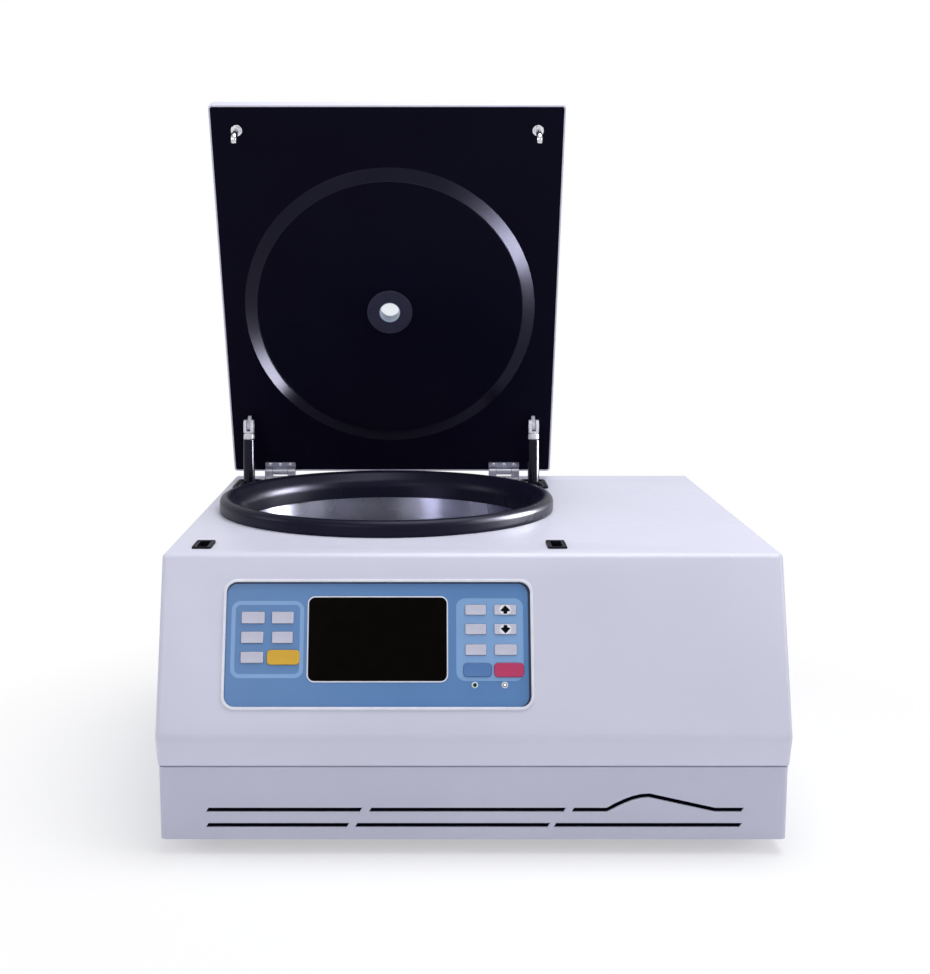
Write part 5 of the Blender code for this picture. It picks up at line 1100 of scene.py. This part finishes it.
def build_hinges():
    for side, sign in SIDES:
        build_bracket(side, sign)
        build_leaf(side, sign)


# Gas struts: each hangs from its stud at zero, down its own Z

FOOT_BACK = 0.06
FOOT_DOWN = 0.2
CLEVIS_HALF = 0.00725
CLEVIS_RADIUS = 0.0075
CLEVIS_FOOT = 0.0095
CLEVIS_RISE = 0.0023
FORK_HALF_GAP = 0.003
FORK_DEPTH = 0.0072
FORK_REACH = 0.02
STUD_PIN_RADIUS = 0.003
STUD_PIN_SET_IN = 0.0006
NECK_RADIUS = 0.005
NECK = (-0.0115, -0.0085)
BUSH_RADIUS = 0.0042
BUSH_HALF = 0.0027
COLLAR_RADIUS = 0.008
COLLAR = (-0.0102, -0.0195)
TUBE_RADIUS = 0.0084
TUBE_BORE = 0.007
TUBE_END = -0.157
TUBE_CLOSED = -0.0285
GLAND = -0.15
GLAND_BORE = 0.0043
SHAFT_RADIUS = 0.004
PISTON_RADIUS = 0.0067
PISTON = 0.006
EYE_RADIUS = 0.007
EYE_HALF = 0.005
FOOT_PIN_RADIUS = 0.003
FOOT_PIN_HALF = 0.013


def build_tube(side, place):
    body = f"strut_tube_{side}"
    half = CLEVIS_HALF
    cheek = arc((0, CLEVIS_RISE), CLEVIS_RADIUS, 0, 180, 16)
    fork = prism([(-CLEVIS_RADIUS, -CLEVIS_FOOT), (CLEVIS_RADIUS, -CLEVIS_FOOT), *cheek], -half, half, "X")
    gap = block((-FORK_HALF_GAP, -FORK_REACH, -FORK_DEPTH), (FORK_HALF_GAP, FORK_REACH, FORK_REACH))
    cuts = [
        cut(gap),
        weld(rod(STUD_PIN_RADIUS, -half - STUD_PIN_SET_IN, half + STUD_PIN_SET_IN, 28, "X")),
        weld(rod(NECK_RADIUS, *NECK, 32)),
    ]
    piece(f"clevis_{side}", fork, "zinc", body, place, cuts=cuts, edge=0.0008)
    bush = rod(BUSH_RADIUS, -BUSH_HALF, BUSH_HALF, 32, "X", 0.0004)
    at_stud = Matrix.Translation(place.translation)
    piece(f"lug_bush_{side}", bush, "black_plastic", "lid", at_stud)
    collar = section(0, COLLAR_RADIUS, *COLLAR)
    collar = turned(softened(collar, {1: 0.003, 2: 0.0022}, 5), 48)
    piece(f"strut_collar_{side}", collar, "zinc", body, place)
    barrel = [
        (0, COLLAR[1]), (TUBE_RADIUS, COLLAR[1]), (TUBE_RADIUS, TUBE_END),
        (GLAND_BORE, TUBE_END), (GLAND_BORE, GLAND), (TUBE_BORE, GLAND),
        (TUBE_BORE, TUBE_CLOSED), (0, TUBE_CLOSED),
    ]
    barrel = turned(softened(barrel, {1: 0.0012, 2: 0.0012}, 4), 48)
    piece(f"strut_barrel_{side}", barrel, "strut_black", body, place, node=body)


def build_struts():
    for side, sign in SIDES:
        stud = LID @ Vector((sign * STRUT_X, STUD_Y, LID_UNDERSIDE - STUD_OFF))
        foot = Vector((CHAMBER_X + sign * STRUT_X, HINGE_Y - FOOT_BACK, HINGE_Z - FOOT_DOWN))
        run = foot - stud
        place = Matrix.Translation(stud) @ spin(atan2(run.y, -run.z), "X")
        build_tube(side, place)
        end = -run.length
        piston = GLAND + FIT
        shaft = [
            (0, piston + PISTON), (PISTON_RADIUS, piston + PISTON), (PISTON_RADIUS, piston),
            (SHAFT_RADIUS, piston), (SHAFT_RADIUS, end), (0, end),
        ]
        cuts = [
            weld(rod(EYE_RADIUS, -EYE_HALF, EYE_HALF, 40, "X", 0.0006), shift(0, 0, end)),
            weld(rod(FOOT_PIN_RADIUS, -FOOT_PIN_HALF, FOOT_PIN_HALF, 28, "X", 0.0004), shift(0, 0, end)),
        ]
        body = f"strut_rod_{side}"
        piece(f"strut_shaft_{side}", turned(shaft, 40), "bright_steel", body, place, cuts=cuts,
              node=body)


# Rear, vents and feet

REAR_SCREW_XS = (-0.335, -0.115, 0.115, 0.335)
REAR_SCREW_ZS = (0.118, 0.312)
FAN_X = 0.245
FAN_Z = 0.195
FAN_SCREW = 0.0825
INLET = (-0.23, 0.18)
BLADES = ((-0.022, -0.003), (-0.015, 0.003), (-0.008, -0.003))
BLADE = (0.001, 0.002)
BLADE_REACH = (-0.0165, -0.001)
# Corners of the sheet behind the front slits, which stands in as painted shade.
VENT_SHADE = ((-0.305, -0.3279, 0.03), (0.305, -0.3259, 0.094))
FOOT_X = 0.265
FOOT_Y = 0.255
FOOT = (
    (0.008, 0.003), (0.009, 0), (0.018, 0), (0.02, 0.002),
    (0.0165, 0.015), (0.016, 0.0177), (0, 0.0177), (0, 0.003),
)


def build_rear():
    spots = [(x, z) for x in REAR_SCREW_XS for z in REAR_SCREW_ZS]
    spots += [(FAN_X + dx, FAN_Z + dz) for dx in (-FAN_SCREW, FAN_SCREW) for dz in (-FAN_SCREW, FAN_SCREW)]
    places = [shift(x, PANEL_Y, z) @ spin(-pi / 2, "X") for x, z in spots]
    add_screws("rear_screw", places, "cabinet", "steel")
    blades = []
    for x, z in BLADES:
        low = (x - BLADE[0], BLADE_REACH[0], z - BLADE[1])
        blades.append(block(low, (x + BLADE[0], BLADE_REACH[1], z + BLADE[1])))
    place = shift(INLET[0], PANEL_Y, INLET[1])
    piece("inlet_blades", joined(*blades), "bright_steel", "cabinet", place, edge=0.0003)


def build_vents():
    """A near-black sheet behind the front slits: painted shade, the dark of the casing's inside."""
    piece("vent_shade_sheet", block(*VENT_SHADE), "vent_shade_sheet", "cabinet", edge=0.0004)


def build_feet():
    for end, y in (("front", -FOOT_Y), ("rear", FOOT_Y)):
        for side, sign in SIDES:
            foot = turned(softened(FOOT, {1: 0.0005, 2: 0.001, 3: 0.002, 4: 0.001}, 4), 56)
            piece(f"foot_pad_{end}_{side}", foot, "foot_rubber", "cabinet", shift(sign * FOOT_X, y),
                  node=f"foot_{end}_{side}")


# Camera, floor and lights

FLOOR_RADIUS = 6.0
FLOOR_THICKNESS = 0.02
GLOSS_SHARE = 0.4


def computed(tree, operation, first, second):
    """A Math node on a socket and another socket or number."""
    node = tree.nodes.new("ShaderNodeMath")
    node.operation = operation
    tree.links.new(first, node.inputs[0])
    if isinstance(second, float):
        node.inputs[1].default_value = second
    else:
        tree.links.new(second, node.inputs[1])
    return node.outputs["Value"]


def seen_rays(tree):
    """1 for rays from the camera and through glass, and a part of it for rays off gloss."""
    rays = tree.nodes.new("ShaderNodeLightPath").outputs
    gloss = computed(tree, "MULTIPLY", rays["Is Glossy Ray"], GLOSS_SHARE)
    clear = computed(tree, "MAXIMUM", rays["Is Camera Ray"], rays["Is Transmission Ray"])
    return computed(tree, "MAXIMUM", clear, gloss)


def whitened(tree, share, plain, white, surface):
    """Shows the white shader by a share and the plain one by the rest."""
    mix = tree.nodes.new("ShaderNodeMixShader")
    for out, into in ((share, mix.inputs[0]), (plain, mix.inputs[1]), (white, mix.inputs[2])):
        tree.links.new(out, into)
    tree.links.new(mix.outputs[0], surface)


def build_camera():
    camera = put("camera", bpy.data.cameras.new("camera"))
    camera.location = (-0.048, -1.8284, 0.6445)
    camera.rotation_euler = (radians(90 - 8.72), 0, 0)
    camera.data.sensor_width = 36
    camera.data.lens = 52.31
    camera.data.shift_x = 0.0357
    bpy.context.scene.camera = camera
    bpy.context.scene.view_settings.view_transform = "Standard"


def build_floor():
    """A pale floor that keeps the shadow near the feet and is white further out."""
    finish = bpy.data.materials.new("floor")
    finish.use_nodes = True
    tree = finish.node_tree
    new = tree.nodes.new
    bsdf = tree.nodes["Principled BSDF"]
    bsdf.inputs["Base Color"].default_value = (0.9, 0.9, 0.91, 1)
    bsdf.inputs["Roughness"].default_value = 0.9
    glow = new("ShaderNodeEmission")
    glow.inputs["Color"].default_value = (1, 1, 1, 1)
    glow.inputs["Strength"].default_value = 1.0
    spot = new("ShaderNodeTexCoord")
    away = new("ShaderNodeVectorMath")
    away.operation = "LENGTH"
    tree.links.new(spot.outputs["Object"], away.inputs[0])
    far = new("ShaderNodeMapRange")
    for key, value in (("From Min", 0.42), ("From Max", 0.8), ("To Min", 0.45), ("To Max", 1.0)):
        far.inputs[key].default_value = value
    tree.links.new(away.outputs["Value"], far.inputs["Value"])
    share = computed(tree, "MULTIPLY", seen_rays(tree), far.outputs["Result"])
    surface = tree.nodes["Material Output"].inputs["Surface"]
    whitened(tree, share, bsdf.outputs[0], glow.outputs[0], surface)
    disc = prism(arc((0, 0), FLOOR_RADIUS, 0, 357.5, 143), -FLOOR_THICKNESS, 0, "Z")
    floor = to_object("floor", disc, Matrix())
    floor.data.materials.append(finish)


def build_world():
    world = bpy.data.worlds.new("studio")
    bpy.context.scene.world = world
    world.use_nodes = True
    tree = world.node_tree
    new = tree.nodes.new
    dim = tree.nodes["Background"]
    dim.inputs["Color"].default_value = (0.88, 0.9, 1.0, 1)
    dim.inputs["Strength"].default_value = 0.3
    white = new("ShaderNodeBackground")
    white.inputs["Color"].default_value = (1, 1, 1, 1)
    white.inputs["Strength"].default_value = 1.0
    surface = tree.nodes["World Output"].inputs["Surface"]
    whitened(tree, seen_rays(tree), dim.outputs[0], white.outputs[0], surface)


def add_lamp(name, place, aim, size, power):
    """An area lamp: a disc where the size is one number, a rectangle where it is two."""
    lamp = bpy.data.lights.new(name, "AREA")
    if isinstance(size, tuple):
        lamp.shape = "RECTANGLE"
        lamp.size, lamp.size_y = size
    else:
        lamp.shape = "DISK"
        lamp.size = size
    lamp.energy = power
    thing = put(name, lamp)
    thing.location = place
    thing.rotation_euler = (Vector(aim) - Vector(place)).to_track_quat("-Z", "Y").to_euler()
    return thing


def build_lamps():
    add_lamp("lamp_top", (0.5, -0.1, 2.6), (0, 0, 0.3), 2.2, 56)
    add_lamp("lamp_front", (-1.2, -2.4, 1.5), (0, -0.3, 0.3), 1.6, 11)
    add_lamp("lamp_right", (2.2, -0.9, 1.1), (0, 0, 0.4), 1.0, 9)
    add_lamp("lamp_left", (-2.3, -0.2, 1.2), (0, 0, 0.4), 1.0, 7)


def build_highlights():
    """Lamps that show only as gloss, and only on the pieces that each one names."""
    tubes = [f"{part}_{side}" for part in ("strut_barrel", "strut_collar", "clevis") for side, _ in SIDES]
    dark = ["gasket_collar", *tubes]
    for name, place, aim, size, spread, power, shown_on in (
        ("gloss_left", (-0.53, 0.12, 0.03), (-0.27, 0.26, 0.47), (0.3, 0.3), 50, 1.2, ["liner_bevel"]),
        ("gloss_low_right", (1.05, -1.0, 0.1), (0.08, 0.2, 0.65), (1.1, 0.45), 40, 7, ["liner_bevel"]),
        ("gloss_bowl", (1.5, 0.55, 1.0), (-0.26, 0.1, 0.28), (0.45, 0.8), 60, 38, ["bowl_shell"]),
        ("gloss_right", (1.5, 0.28, 0.75), (-0.1, 0.05, 0.4), (0.9, 1.3), 60, 60, dark),
    ):
        lamp = add_lamp(name, place, aim, size, power)
        lamp.data.spread = radians(spread)
        lamp.visible_camera = False
        lamp.visible_diffuse = False
        lamp.visible_transmission = False
        receivers = bpy.data.collections.new(f"lit_by_{name}")
        for piece_name in shown_on:
            receivers.objects.link(bpy.data.objects[piece_name])
        lamp.light_linking.receiver_collection = receivers


make_painted()
make_plastics()
make_metals()
make_blacks()
dress_nodes()
build_camera()
build_floor()
build_world()
build_lamps()
build_chamber()
build_rotor()
build_film()
build_keys()
build_indicators()
build_bezels()
build_latches()
build_liner()
build_port()
build_strikers()
build_hinges()
build_struts()
build_rear()
build_vents()
build_feet()
build_highlights()
